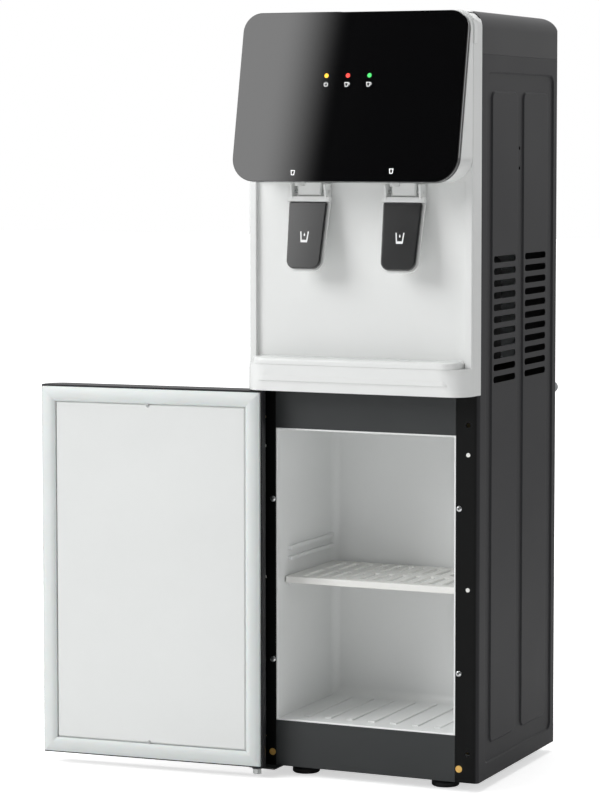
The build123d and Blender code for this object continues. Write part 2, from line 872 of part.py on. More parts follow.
with BuildPart() as hinge_pins:
    with BuildSketch(Plane.XY.offset(lower_plate_z - hinge_head_height)):
        with Locations((hinge_x, hinge_y)):
            RegularPolygon(hinge_head_r, 6)
    extrude(amount=hinge_head_height)
    with BuildSketch(Plane.XY.offset(lower_plate_z)):
        with Locations((hinge_x, hinge_y)):
            Circle(hinge_pin_r)
    extrude(amount=hinge_plate_thickness + door_gap_bottom + hinge_pin_reach)
    with BuildSketch(Plane.XY.offset(upper_plate_z + hinge_plate_thickness)):
        with Locations((hinge_x, hinge_y)):
            RegularPolygon(hinge_head_r, 6)
    extrude(amount=hinge_head_height / 2)
    with BuildSketch(Plane.XY.offset(door_top - hinge_pin_reach + bush_wall)):
        with Locations((hinge_x, hinge_y)):
            Circle(hinge_pin_r)
    extrude(until=Until.NEXT)
save(hinge_pins.part, "hinge_pins")

# ---------------------------------------------------------------------------
# front fascia: one white moulding with wrapped sides, a shallow niche and
# the base ledge that carries the drip tray
# ---------------------------------------------------------------------------
niche_half_width = half_width - fascia_draft - frame_width
niche_back_y = fascia_front_y + niche_depth
tray_half_width = half_width - tray_side_inset
tray_front_y = front_y - base_top_reach - tray_overhang
tray_back_y = niche_back_y - seat_gap
basin_half_width = tray_half_width - basin_side_inset
basin_front_y = tray_front_y + basin_front_inset
basin_back_y = niche_back_y - fascia_wall - seat_gap - tray_wall
basin_bottom = ledge_top - basin_sink
pocket_margin = tray_wall + seat_gap
pocket_bottom = basin_bottom - tray_wall


def basin_plan(margin, back):
    """Plan of the drip basin with its round front corners, grown by a margin, up to a back plane."""
    with BuildSketch(mode=Mode.PRIVATE) as plan:
        with Locations((0, back)):
            Rectangle(
                2 * (basin_half_width + margin),
                back - basin_front_y + margin,
                align=(Align.CENTER, Align.MAX),
            )
        fillet(plan.vertices().group_by(Axis.Y)[0], basin_corner + margin)
    return plan.sketch


def ledge_plan(half, reach, back, corner):
    """Plan of the base ledge at one level, rounded at its front corners."""
    with BuildSketch(mode=Mode.PRIVATE) as plan:
        with Locations((0, back)):
            Rectangle(2 * half, back - front_y + reach, align=(Align.CENTER, Align.MAX))
        fillet(plan.vertices().group_by(Axis.Y)[0], corner)
    return plan.sketch


def wrap_plan(inset):
    """Plan of the fascia's wrapped body, narrower to the front, shrunk by an inset and open behind."""
    back = fascia_back_y + inset
    with BuildSketch(mode=Mode.PRIVATE) as plan:
        with BuildLine():
            Polyline(
                (-half_width + inset, back),
                (-half_width + fascia_draft + inset, fascia_front_y + inset),
                (half_width - fascia_draft - inset, fascia_front_y + inset),
                (half_width - inset, back),
                close=True,
            )
        make_face()
        if not inset:
            fillet(plan.vertices().group_by(Axis.Y)[0], fascia_wall)
    return plan.sketch


def shoulder_outline(inset):
    """Front outline of the fascia with its rounded shoulders, shrunk by an inset at the top and sides."""
    outline_height = top_z - inset - fascia_bottom
    with BuildSketch(mode=Mode.PRIVATE) as outline:
        with Locations((0, fascia_bottom)):
            Rectangle(cabinet_width - 2 * inset, outline_height, align=(Align.CENTER, Align.MIN))
        fillet(outline.vertices().group_by(Axis.Y)[-1], shoulder_radius - inset)
    return outline.sketch


with BuildPart() as front_fascia:
    with BuildSketch(Plane.XY.offset(fascia_bottom)):
        add(wrap_plan(0.0))
    extrude(amount=top_z - fascia_bottom)
    with BuildSketch(Plane.XY.offset(fascia_bottom + fascia_wall)):
        add(wrap_plan(fascia_wall))
    extrude(amount=top_z - fascia_bottom - 2 * fascia_wall, mode=Mode.SUBTRACT)
    # the shoulders are turned in: a rounded outer outline and a bead along the inside of it
    with BuildSketch(facing_front(fascia_front_y - fascia_wall)):
        add(shoulder_outline(0.0))
    extrude(amount=-fascia_back_y + fascia_front_y - 2 * fascia_wall, mode=Mode.INTERSECT)
    with BuildSketch(facing_front(fascia_front_y + fascia_wall / 2)):
        add(shoulder_outline(fascia_draft / 2))
        add(shoulder_outline(fascia_draft / 2 + fascia_wall), mode=Mode.SUBTRACT)
        with Locations((0, top_z - 2 * shoulder_radius)):
            Rectangle(
                2 * cabinet_width,
                2 * cabinet_width,
                align=(Align.CENTER, Align.MAX),
                mode=Mode.SUBTRACT,
            )
    extrude(amount=-fascia_back_y + fascia_front_y + fascia_wall / 2)
    # the base ledge leans out to its top, and its corners grow rounder on the way
    ledge_half = half_width - fascia_draft
    with BuildSketch(Plane.XY.offset(fascia_bottom)):
        add(ledge_plan(ledge_half, base_bottom_reach, front_y - seat_gap, base_bottom_corner))
    with BuildSketch(Plane.XY.offset(ledge_top)):
        add(ledge_plan(ledge_half, base_top_reach, front_y - seat_gap, base_top_corner))
    loft()
    # hollow of the ledge, open to the back
    hollow_half = ledge_half - fascia_wall
    low_corner = base_bottom_corner - fascia_wall
    high_corner = base_top_corner - fascia_wall
    with BuildSketch(Plane.XY.offset(fascia_bottom + fascia_wall)):
        add(ledge_plan(hollow_half, base_bottom_reach - fascia_wall, fascia_back_y, low_corner))
    with BuildSketch(Plane.XY.offset(ledge_top - fascia_wall)):
        add(ledge_plan(hollow_half, base_top_reach - 1.2 * fascia_wall, fascia_back_y, high_corner))
    loft(mode=Mode.SUBTRACT)
    # niche: a shallow recess with its own back wall
    box_between(
        (-niche_half_width - fascia_wall, fascia_front_y, ledge_top - fascia_wall),
        (niche_half_width + fascia_wall, niche_back_y + fascia_wall, head_bottom + fascia_wall),
    )
    box_between(
        (-niche_half_width, fascia_front_y - fascia_wall, ledge_top),
        (niche_half_width, niche_back_y, head_bottom),
        mode=Mode.SUBTRACT,
    )
    # pocket for the drip tray's basin
    with BuildSketch(Plane.XY.offset(pocket_bottom - fascia_wall)):
        add(basin_plan(pocket_margin + fascia_wall, niche_back_y))
    extrude(amount=ledge_top - pocket_bottom + fascia_wall / 2)
    with BuildSketch(Plane.XY.offset(pocket_bottom)):
        add(basin_plan(pocket_margin, niche_back_y - fascia_wall))
    extrude(amount=ledge_top - pocket_bottom, mode=Mode.SUBTRACT)
    # the bottom wall stops in front of the posts and the beam
    box_between(
        (-half_width + fascia_wall, front_y - seat_gap, fascia_bottom - sheet),
        (half_width - fascia_wall, fascia_back_y + sheet, fascia_bottom + 2 * fascia_wall),
        mode=Mode.SUBTRACT,
    )
    # hole for the upper hinge pin
    with BuildSketch(Plane.XY.offset(fascia_bottom)):
        with Locations((hinge_x, hinge_y)):
            Circle(hinge_pin_r + 2 * seat_gap)
    extrude(amount=fascia_wall, mode=Mode.SUBTRACT)
    # ways through the back wall for the two water pipes, behind the head
    pipe_pass_z = head_bottom + 3 * fascia_wall + valve_height
    with BuildSketch(facing_front(fascia_front_y)):
        for side in (-1, 1):
            with Locations((side * tap_x, pipe_pass_z)):
                Circle(pipe_r + 2 * seat_gap)
    extrude(amount=-fascia_wall, mode=Mode.SUBTRACT)
save(front_fascia.part, "front_fascia")

# ---------------------------------------------------------------------------
# drip tray and its cover
# ---------------------------------------------------------------------------
tray_top = ledge_top + tray_lip_height
tray_bottom = pocket_bottom + seat_gap / 3
cover_bottom = tray_top - cover_thickness + seat_gap / 3

with BuildPart() as drip_tray:
    with BuildSketch(Plane.XY.offset(ledge_top + seat_gap / 3)) as tray_plan:
        with Locations((0, tray_back_y)):
            Rectangle(2 * tray_half_width, tray_back_y - tray_front_y, align=(Align.CENTER, Align.MAX))
        fillet(tray_plan.vertices().group_by(Axis.Y)[0], tray_corner)
    extrude(amount=tray_lip_height - seat_gap / 3)
    upper_rim = drip_tray.faces().sort_by(Axis.Z)[-1].edges().sort_by(Axis.Y)[:-1]
    fillet(upper_rim, tray_edge_round)
    with BuildSketch(Plane.XY.offset(tray_bottom)):
        add(basin_plan(tray_wall, basin_back_y + tray_wall))
    extrude(amount=ledge_top + tray_wall - tray_bottom)
    with BuildSketch(Plane.XY.offset(basin_bottom)):
        add(basin_plan(0.0, basin_back_y))
    extrude(amount=tray_top - basin_bottom, mode=Mode.SUBTRACT)
    with BuildSketch(Plane.XY.offset(tray_top)):
        add(basin_plan(cover_ledge, tray_back_y))
    extrude(amount=-cover_thickness, mode=Mode.SUBTRACT)
save(drip_tray.part, "drip_tray")

with BuildPart() as drip_cover:
    with BuildSketch(Plane.XY.offset(cover_bottom)):
        add(basin_plan(cover_ledge - seat_gap, tray_back_y))
    extrude(amount=tray_top - cover_bottom)
    with BuildSketch(Plane.XY.offset(tray_top)):
        for side in (-1, 1):
            with Locations((side * tap_x, (basin_front_y - cover_ledge + tray_back_y) / 2)):
                Rectangle(tray_slot_length, tray_slot_width)
    extrude(amount=-cover_thickness, mode=Mode.SUBTRACT)
save(drip_cover.part, "drip_cover")

# ---------------------------------------------------------------------------
# head housing, display glass, bezel, lenses and the board behind them
# ---------------------------------------------------------------------------
head_half_width = half_width - head_side_inset
panel_plane = Plane(
    origin=(0, front_y - panel_bottom_reach, head_bottom),
    x_dir=(1, 0, 0),
    z_dir=(0, -math.cos(math.radians(panel_tilt)), math.sin(math.radians(panel_tilt))),
)
panel_length = head_height / math.cos(math.radians(panel_tilt))
panel_stack = glass_thickness + bezel_thickness
bezel_plane = panel_plane.offset(-glass_thickness)
stack_back_plane = panel_plane.offset(-panel_stack)


def head_outline(height, inset):
    """Rounded outline of the head, standing on the plane's local x axis."""
    with BuildSketch(mode=Mode.PRIVATE) as outline:
        with Locations((0, inset)):
            Rectangle(
                2 * (head_half_width - inset),
                height - 2 * inset,
                align=(Align.CENTER, Align.MIN),
            )
        fillet(outline.vertices().group_by(Axis.Y)[-1], head_top_corner - inset)
        fillet(outline.vertices().group_by(Axis.Y)[0], head_bottom_corner - inset)
    return outline.sketch


lens_up = (lens_z - head_bottom) / math.cos(math.radians(panel_tilt))
lens_places = {
    "lens_amber": lens_centre_x - lens_pitch,
    "lens_red": lens_centre_x,
    "lens_green": lens_centre_x + lens_pitch,
}

with BuildPart() as head_housing:
    with BuildSketch(facing_front(fascia_front_y)) as head_section:
        with Locations((0, head_bottom)):
            add(head_outline(head_height, 0.0))
            add(head_outline(head_height, head_wall), mode=Mode.SUBTRACT)
    extrude(amount=panel_bottom_reach)
    # floor strip of the head is kept whole; the tilted front is cut off square to the glass
    split(bisect_by=stack_back_plane, keep=Keep.BOTTOM)
    with BuildSketch(Plane.XY.offset(head_bottom)):
        for side in (-1, 1):
            with Locations((side * tap_x, front_y - spout_reach)):
                Circle(spout_r + seat_gap)
    extrude(amount=head_wall, mode=Mode.SUBTRACT)
save(head_housing.part, "head_housing")

with BuildPart() as display_panel:
    with BuildSketch(panel_plane):
        add(head_outline(panel_length, 0.0))
        for lens_x in lens_places.values():
            with Locations((lens_x, lens_up)):
                Circle(lens_r + seat_gap / 3, mode=Mode.SUBTRACT)
    extrude(amount=-glass_thickness)
    chamfer(display_panel.faces().sort_by(Axis.Y)[0].outer_wire().edges(), bezel_inset)
save(display_panel.part, "display_panel")

with BuildPart() as display_bezel:
    with BuildSketch(bezel_plane):
        add(head_outline(panel_length, bezel_inset))
        add(head_outline(panel_length, bezel_ring), mode=Mode.SUBTRACT)
    extrude(amount=-bezel_thickness)
save(display_bezel.part, "display_bezel")

for lens_name, lens_x in lens_places.items():
    with BuildPart() as lens:
        with BuildSketch(panel_plane):
            with Locations((lens_x, lens_up)):
                Circle(lens_r)
        extrude(amount=-panel_stack / 2)
        with BuildSketch(bezel_plane):
            with Locations((lens_x, lens_up)):
                Circle(lens_r + 1.0)
        extrude(amount=-bezel_thickness + board_thickness)
    save(lens.part, lens_name)

with BuildPart() as indicator_board:
    with BuildSketch(panel_plane.offset(-panel_stack + board_thickness)):
        with Locations((lens_centre_x, lens_up)):
            Rectangle(board_width, board_height)
    extrude(amount=-board_thickness)
save(indicator_board.part, "indicator_board")

# ---------------------------------------------------------------------------
# taps, lever blocks, levers, pads and pivot pins
# ---------------------------------------------------------------------------
pivot_y = front_y - pivot_reach
valve_y = front_y - spout_reach + 0.75 * valve_r
pivot_z = head_bottom - pivot_drop
pin_half_length = ear_inner + ear_thickness
lever_bore_r = pivot_pin_r + running_gap
tilt_sine = math.sin(math.radians(lever_tilt))
tilt_cosine = math.cos(math.radians(lever_tilt))


def lever_plane(x):
    """The front face of a lever's pad, with its origin at the middle of the pad's top edge."""
    return Plane(
        origin=(x, front_y - pad_top_reach, head_bottom - pad_top_drop),
        x_dir=(1, 0, 0),
        z_dir=(0, -tilt_cosine, tilt_sine),
    )


def carrier_point(down, behind):
    """A point (y, z) in the carrier: so far down its front face, and so far behind that face."""
    inward = pad_thickness + behind
    return (
        front_y - pad_top_reach + inward * tilt_cosine - down * tilt_sine,
        head_bottom - pad_top_drop - inward * tilt_sine - down * tilt_cosine,
    )


def pad_outline(border):
    """Outline of the pad, square at the top and rounded at the bottom, grown by a border."""
    with BuildSketch(mode=Mode.PRIVATE) as outline:
        with BuildLine():
            Polyline(
                (-pad_top_half - border, border),
                (pad_top_half + border, border),
                (pad_bottom_half + border, -pad_length - border),
                (-pad_bottom_half - border, -pad_length - border),
                close=True,
            )
        make_face()
        fillet(outline.vertices().group_by(Axis.Y)[0], pad_bottom_corner + border)
        fillet(outline.vertices().group_by(Axis.Y)[-1], pad_top_corner + border / 2)
    return outline.sketch


for side_name, side in (("left", -1), ("right", 1)):
    centre_x = side * tap_x
    with BuildPart() as tap_body:
        with BuildSketch(Plane.XY.offset(head_bottom - spout_drop)):
            with Locations((centre_x, front_y - spout_reach)):
                Circle(spout_r)
        extrude(amount=spout_drop + 2 * head_wall)
        with BuildSketch(Plane.XY.offset(head_bottom + head_wall)):
            with Locations((centre_x, valve_y)):
                Circle(valve_r)
        extrude(amount=valve_height + pipe_r)
        with BuildSketch(Plane.XY.offset(head_bottom - spout_drop)):
            with Locations((centre_x, front_y - spout_reach)):
                Circle(spout_bore_r)
        extrude(amount=spout_drop + 4 * head_wall, mode=Mode.SUBTRACT)
    save(tap_body.part, f"tap_{side_name}")

    with BuildPart() as tap_block:
        with BuildSketch(Plane.YZ.offset(centre_x - block_half_width)):
            with Locations((front_y - block_reach, head_bottom)):
                Rectangle(block_depth, block_height, align=(Align.MIN, Align.MAX))
            with Locations((pivot_y, pivot_z)):
                Circle(lever_bore_r, mode=Mode.SUBTRACT)
        extrude(amount=2 * block_half_width)
        face_edges = tap_block.faces().sort_by(Axis.Y)[0].edges().sort_by(Axis.Z)[:-1]
        fillet(face_edges, block_edge_round)
    save(tap_block.part, f"tap_block_{side_name}")

    with BuildPart() as lever:
        with BuildSketch(lever_plane(centre_x).offset(-pad_thickness)):
            add(pad_outline(carrier_border))
        extrude(amount=-carrier_thickness)
        # a bar over the pad's top edge, flush with its face, joins the two ears
        with BuildSketch(lever_plane(centre_x)):
            with Locations((0, seat_gap)):
                Rectangle(2 * (pad_top_half + carrier_border), bar_height, align=(Align.CENTER, Align.MIN))
        extrude(amount=-pad_thickness - carrier_thickness)
        for ear_side in (-1, 1):
            ear_low = centre_x + ear_side * ear_inner - (ear_thickness if ear_side < 0 else 0)
            with BuildSketch(Plane.YZ.offset(ear_low)) as ear:
                with BuildLine():
                    Polyline(
                        (front_y - ear_front_reach, head_bottom - ear_top_drop),
                        (front_y - ear_back_reach, head_bottom - ear_top_drop),
                        (front_y - ear_back_reach, head_bottom - block_height),
                        carrier_point(bar_height, carrier_thickness),
                        carrier_point(bar_height, carrier_thickness / 2),
                        carrier_point(-2 * seat_gap, carrier_thickness / 2),
                        carrier_point(-bar_height / 2, -pad_thickness),
                        close=True,
                    )
                make_face()
                fillet(ear.vertices().group_by(Axis.Y)[-1], ear_corner)
                with Locations((pivot_y, pivot_z)):
                    Circle(lever_bore_r, mode=Mode.SUBTRACT)
            extrude(amount=ear_thickness)
    save(lever.part, f"lever_{side_name}")

    with BuildPart() as lever_pad:
        with BuildSketch(lever_plane(centre_x)):
            add(pad_outline(0.0))
        extrude(amount=-pad_thickness)
        fillet(lever_pad.faces().sort_by(Axis.Y)[0].edges(), pad_edge_round)
    save(lever_pad.part, f"lever_pad_{side_name}")

with BuildPart() as lever_pins:
    for side in (-1, 1):
        with BuildSketch(Plane.YZ.offset(side * tap_x - pin_half_length)):
            with Locations((pivot_y, pivot_z)):
                Circle(pivot_pin_r)
        extrude(amount=2 * pin_half_length)
save(lever_pins.part, "lever_pins")

# ---------------------------------------------------------------------------
# top cap, bottle seat and spike
# ---------------------------------------------------------------------------
cap_front_y = fascia_back_y + seat_gap / 3
cap_bottom = side_top + seat_gap / 3


def cap_form(inset):
    """The cap's form, shrunk by an inset: rounded shoulders, a rounder back edge, tight back corners."""
    with BuildPart(mode=Mode.PRIVATE) as form:
        with BuildSketch(facing_front(back_y - inset)) as front_view:
            with Locations((0, cap_bottom)):
                Rectangle(
                    cabinet_width - 2 * inset,
                    top_z - inset - cap_bottom,
                    align=(Align.CENTER, Align.MIN),
                )
            fillet(front_view.vertices().group_by(Axis.Y)[-1], shoulder_radius - inset)
        extrude(amount=back_y - cap_front_y - 2 * inset)
        back_round = cap_back_round - inset
        with BuildSketch(Plane.YZ.offset(-half_width - sheet)):
            with Locations((back_y - inset - back_round, top_z - inset - back_round)):
                Rectangle(2 * back_round, 2 * back_round, align=(Align.MIN, Align.MIN))
                Circle(back_round, mode=Mode.SUBTRACT)
        extrude(amount=cabinet_width + 2 * sheet, mode=Mode.SUBTRACT)
        with BuildSketch(Plane.XY.offset(cap_bottom)):
            for side, outward in ((-1, Align.MAX), (1, Align.MIN)):
                corner_x = side * (half_width - inset - back_bend_radius)
                with Locations((corner_x, back_y - inset - back_bend_radius)):
                    Rectangle(2 * back_bend_radius, 2 * back_bend_radius, align=(outward, Align.MIN))
                    Circle(back_bend_radius, mode=Mode.SUBTRACT)
        extrude(amount=cap_height, mode=Mode.SUBTRACT)
    return form.part


with BuildPart() as top_cap:
    add(cap_form(0.0))
    add(cap_form(cap_wall), mode=Mode.SUBTRACT)
    with BuildSketch(Plane.XY.offset(top_z)):
        with Locations((0, seat_y)):
            Circle(seat_top_r + seat_gap)
    extrude(amount=-cap_wall, mode=Mode.SUBTRACT)
save(top_cap.part, "top_cap")

seat_floor_z = top_z - seat_depth
with BuildPart() as bottle_seat:
    with BuildSketch(Plane.XZ):
        with BuildLine():
            Polyline(
                (spike_r + running_gap, seat_floor_z - seat_wall),
                (seat_floor_r, seat_floor_z - seat_wall),
                (seat_top_r - seat_wall, top_z - seat_depth * 0.55),
                (seat_top_r, top_z),
                (seat_flange_r, top_z),
                (seat_flange_r, top_z + seat_flange),
                (seat_top_r - seat_wall, top_z + seat_flange),
                (seat_top_r - 2 * seat_wall, top_z - seat_depth * 0.55),
                (seat_floor_r - seat_wall, seat_floor_z),
                (spike_r + running_gap, seat_floor_z),
                close=True,
            )
        make_face()
    revolve(axis=Axis.Z)
save(bottle_seat.part.moved(Location((0, seat_y, 0))), "bottle_seat")

with BuildPart() as piercing_spike:
    with BuildSketch(Plane.XZ):
        with BuildLine():
            Polyline(
                (0, seat_floor_z - spike_stem_length),
                (spike_stem_r, seat_floor_z - spike_stem_length),
                (spike_stem_r, seat_floor_z - seat_wall),
                (spike_r, seat_floor_z - seat_wall),
                (spike_r, seat_floor_z + spike_height * 0.55),
            )
            spike_curve = ThreePointArc(
                (spike_r, seat_floor_z + spike_height * 0.55),
                (spike_r * 0.8, seat_floor_z + spike_height * 0.82),
                (spike_r * 0.2, seat_floor_z + spike_height),
            )
            Polyline(
                (spike_r * 0.2, seat_floor_z + spike_height),
                (0, seat_floor_z + spike_height),
                (0, seat_floor_z - spike_stem_length),
            )
        make_face()
    revolve(axis=Axis.Z)
    with BuildSketch(Plane.XY.offset(seat_floor_z - spike_stem_length)):
        Circle(spike_tip_r)
    extrude(amount=spike_stem_length + spike_height * 0.4, mode=Mode.SUBTRACT)
    with BuildSketch(Plane.XZ.offset(-2 * spike_r)):
        with Locations((0, seat_floor_z + spike_height * 0.25)):
            Rectangle(spike_tip_r, spike_height * 0.25)
    extrude(amount=4 * spike_r, mode=Mode.SUBTRACT)
save(piercing_spike.part.moved(Location((0, seat_y, 0))), "piercing_spike")

# ---------------------------------------------------------------------------
# cold tank in its insulation, hot tank, pipes and drain
# ---------------------------------------------------------------------------
cold_tank_top = seat_floor_z - seat_wall - cold_tank_gap
cold_tank_bottom = cold_tank_top - cold_tank_height

with BuildPart() as cold_tank:
    for inset, mode in ((0.0, Mode.ADD), (tank_wall, Mode.SUBTRACT)):
        with BuildSketch(Plane.XZ) as tank_section:
            with Locations((0, cold_tank_bottom + inset)):
                Rectangle(cold_tank_r - inset, cold_tank_height - 2 * inset, align=(Align.MIN, Align.MIN))
            fillet(tank_section.vertices().group_by(Axis.X)[-1], tank_edge_round - inset)
        revolve(axis=Axis.Z, mode=mode)
    with Locations((0, 0, cold_tank_top - 2 * tank_wall)):
        Cylinder(spike_stem_r + seat_gap, 4 * tank_wall, align=ALIGN_LOW, mode=Mode.SUBTRACT)
save(cold_tank.part.moved(Location((0, seat_y, 0))), "cold_tank")

with BuildPart() as cold_tank_insulation:
    with Locations((0, seat_y, cold_tank_bottom - jacket_floor)):
        Cylinder(cold_tank_r + jacket_wall, cold_tank_height * 0.9 + jacket_floor, align=ALIGN_LOW)
    with Locations((0, seat_y, cold_tank_bottom - seat_gap / 3)):
        Cylinder(cold_tank_r + seat_gap, cold_tank_height, align=ALIGN_LOW, mode=Mode.SUBTRACT)
save(cold_tank_insulation.part, "cold_tank_insulation")

hot_tank_x = tap_x
hot_tank_z = drain_z + hot_tank_rise
with BuildPart() as hot_tank:
    with Locations((hot_tank_x, hot_tank_y, hot_tank_z)):
        Cylinder(hot_tank_r, hot_tank_height, align=ALIGN_LOW)
    fillet(hot_tank.edges().filter_by(GeomType.CIRCLE), hot_tank_edge_round)
save(hot_tank.part, "hot_tank")

deck_top = cold_tank_bottom - jacket_floor
deck_half_width = cold_tank_r + jacket_wall + deck_side_margin
deck_front_y = seat_y - deck_reach
deck_back_y = back_y - 2 * sheet
with BuildPart() as tank_deck:
    box_between(
        (-deck_half_width, deck_front_y, deck_top - deck_plate),
        (deck_half_width, deck_back_y, deck_top),
    )
    box_between(
        (-deck_half_width, deck_back_y - deck_plate, hot_tank_z - deck_plate),
        (deck_half_width, deck_back_y, deck_top),
    )
    box_between(
        (hot_tank_x - hot_tank_r, hot_tank_y - hot_tank_r * 0.8, hot_tank_z - deck_plate),
        (deck_half_width, deck_back_y, hot_tank_z),
    )
    for side in (-1, 1):
        low_x = min(side * deck_half_width, side * (deck_half_width - deck_plate))
        box_between(
            (low_x, deck_front_y, deck_top - deck_flange),
            (low_x + deck_plate, deck_back_y, deck_top),
        )
    with BuildSketch(Plane.XY.offset(deck_top)):
        with Locations((cold_port_x, seat_y)):
            Circle(2 * pipe_r)
    extrude(amount=-deck_plate, mode=Mode.SUBTRACT)
    with BuildSketch(Plane.XY.offset(hot_tank_z)):
        with Locations((hot_tank_x, hot_tank_y)):
            Circle(2 * pipe_r)
    extrude(amount=-deck_plate, mode=Mode.SUBTRACT)
save(tank_deck.part, "tank_deck")

valve_back_y = valve_y + valve_r
cold_drop_y = seat_y - cold_tank_r - jacket_wall + 2 * pipe_r
cold_run_z = cold_tank_bottom - cold_port_drop
round_tube(
    [
        (-tap_x, valve_back_y, pipe_pass_z),
        (-tap_x, cold_drop_y, pipe_pass_z),
        (-tap_x, cold_drop_y, cold_run_z),
        (cold_port_x, seat_y, cold_run_z),
        (cold_port_x, seat_y, cold_tank_bottom - jacket_floor),
    ],
    [pipe_bend, pipe_bend, pipe_bend],
    pipe_r,
    "cold_pipe",
)
hot_drop_y = cold_drop_y - 3 * pipe_r
hot_port_z = hot_tank_z + hot_port_rise
round_tube(
    [
        (tap_x, valve_back_y, pipe_pass_z),
        (tap_x, hot_drop_y, pipe_pass_z),
        (tap_x, hot_drop_y, hot_port_z),
        (tap_x, hot_tank_y - hot_tank_r, hot_port_z),
    ],
    [pipe_bend, pipe_bend],
    pipe_r,
    "hot_pipe",
)
round_tube(
    [
        (hot_tank_x, hot_tank_y, hot_tank_z),
        (hot_tank_x, hot_tank_y, drain_z),
        (drain_x, hot_tank_y, drain_z),
        (drain_x, back_y + drain_spigot_length, drain_z),
    ],
    [drain_bend, drain_bend],
    drain_pipe_r,
    "drain_pipe",
)

with BuildPart() as drain_cap:
    with BuildSketch(facing_front(back_y + seat_gap / 3)):
        with Locations((drain_x, drain_z)):
            Circle(drain_r)
    extrude(amount=-drain_cap_length)
    fillet(drain_cap.faces().sort_by(Axis.Y)[-1].edges(), drain_r / 4)
    with BuildSketch(facing_front(back_y)):
        with Locations((drain_x, drain_z)):
            Circle(drain_pipe_r + running_gap)
    extrude(amount=-drain_spigot_length - seat_gap, mode=Mode.SUBTRACT)
save(drain_cap.part, "drain_cap")

# ---------------------------------------------------------------------------
# back panel, condenser, compressor and electrics
# ---------------------------------------------------------------------------
back_panel_half = post_inner_x + post_width * 0.6
back_panel_y = back_y - 2 * sheet
with BuildPart() as back_panel:
    box_between(
        (-back_panel_half, back_panel_y, back_panel_bottom),
        (back_panel_half, back_y - sheet, side_top),
    )
    with BuildSketch(facing_front(back_y)):
        for step in range(2):
            with Locations((switch_x + step * switch_pitch, switch_z)):
                Rectangle(switch_width + 2 * seat_gap, switch_height + 2 * seat_gap)
        with Locations((inlet_x, inlet_z)):
            Rectangle(inlet_width + 2 * seat_gap, inlet_height + 2 * seat_gap)
        with Locations((drain_x, drain_z)):
            Circle(drain_r)
    extrude(amount=4 * sheet, mode=Mode.SUBTRACT)
save(back_panel.part, "back_panel")

compressor_y = liner_back_y + insulation_back + compressor_half_y + compressor_back_gap
compressor_bottom = body_bottom + pan_wall + compressor_foot_gap
with BuildPart() as compressor:
    with BuildSketch(Plane.XY.offset(compressor_bottom)):
        with Locations((0, compressor_y)):
            Ellipse(compressor_half_x, compressor_half_y)
    extrude(amount=compressor_height)
    fillet(compressor.faces().sort_by(Axis.Z)[-1].edges(), compressor_dome)
    box_between(
        (-compressor_half_x - compressor_lug, compressor_y - compressor_lug_half_y, compressor_bottom),
        (
            compressor_half_x + compressor_lug,
            compressor_y + compressor_lug_half_y,
            compressor_bottom + compressor_lug_height,
        ),
    )
save(compressor.part, "compressor")

with BuildPart() as compressor_mounts:
    with BuildSketch(Plane.XY.offset(body_bottom + pan_wall)):
        with Locations((0, compressor_y)):
            with GridLocations(2 * (compressor_half_x + mount_inset_x), 2 * mount_half_y, 2, 2):
                Circle(mount_r)
    extrude(amount=compressor_foot_gap)
save(compressor_mounts.part, "compressor_mounts")

condenser_y = back_y + condenser_standoff
condenser_half_width = half_width - condenser_side_gap
condenser_height = (condenser_passes - 1) * condenser_pass_pitch
pass_half = condenser_half_width - condenser_pass_pitch / 2
serpentine = []
for turn in range(condenser_passes):
    pass_z = condenser_bottom + turn * condenser_pass_pitch
    ends = (-condenser_half_width, condenser_half_width)
    if turn % 2:
        ends = ends[::-1]
    serpentine += [(ends[0], condenser_y, pass_z), (ends[1], condenser_y, pass_z)]
with BuildPart() as condenser:
    with BuildLine() as serpentine_path:
        FilletPolyline(*serpentine, radius=condenser_pass_pitch / 2 - seat_gap)
    tube_wire = serpentine_path.wires()[0]
    with BuildSketch(Plane(origin=tube_wire @ 0, z_dir=tube_wire % 0)):
        Circle(condenser_tube_r)
    sweep(path=tube_wire)
    wire_length = condenser_height + 2 * condenser_wire_overrun
    wire_y = condenser_y + condenser_tube_r + condenser_wire_r / 3
    wire_pitch = 2 * (pass_half - condenser_wire_inset) / (condenser_wires - 1)
    for strand in range(condenser_wires):
        wire_x = (strand - (condenser_wires - 1) / 2) * wire_pitch
        with Locations((wire_x, wire_y, condenser_bottom - condenser_wire_overrun)):
            Cylinder(condenser_wire_r, wire_length, align=ALIGN_LOW)
save(condenser.part, "condenser")

bracket_x = pass_half - bracket_inset
with BuildPart() as condenser_brackets:
    for side in (-1, 1):
        for bracket_z in (condenser_bottom, condenser_bottom + condenser_height):
            box_between(
                (side * bracket_x - bracket_half_width, back_y - sheet, bracket_z - bracket_half_height),
                (
                    side * bracket_x + bracket_half_width,
                    condenser_y + condenser_tube_r + sheet,
                    bracket_z + bracket_half_height,
                ),
            )
            with BuildSketch(Plane.YZ.offset(side * bracket_x - bracket_half_width)):
                with Locations((condenser_y, bracket_z)):
                    Circle(condenser_tube_r + running_gap)
            extrude(amount=2 * bracket_half_width, mode=Mode.SUBTRACT)
save(condenser_brackets.part, "condenser_brackets")



def rear_box(centre_x, centre_z, width, height, low_y, high_y, mode=Mode.ADD):
    """A box about a centre on the back panel, between two depths."""
    box_between(
        (centre_x - width / 2, low_y, centre_z - height / 2),
        (centre_x + width / 2, high_y, centre_z + height / 2),
        mode=mode,
    )


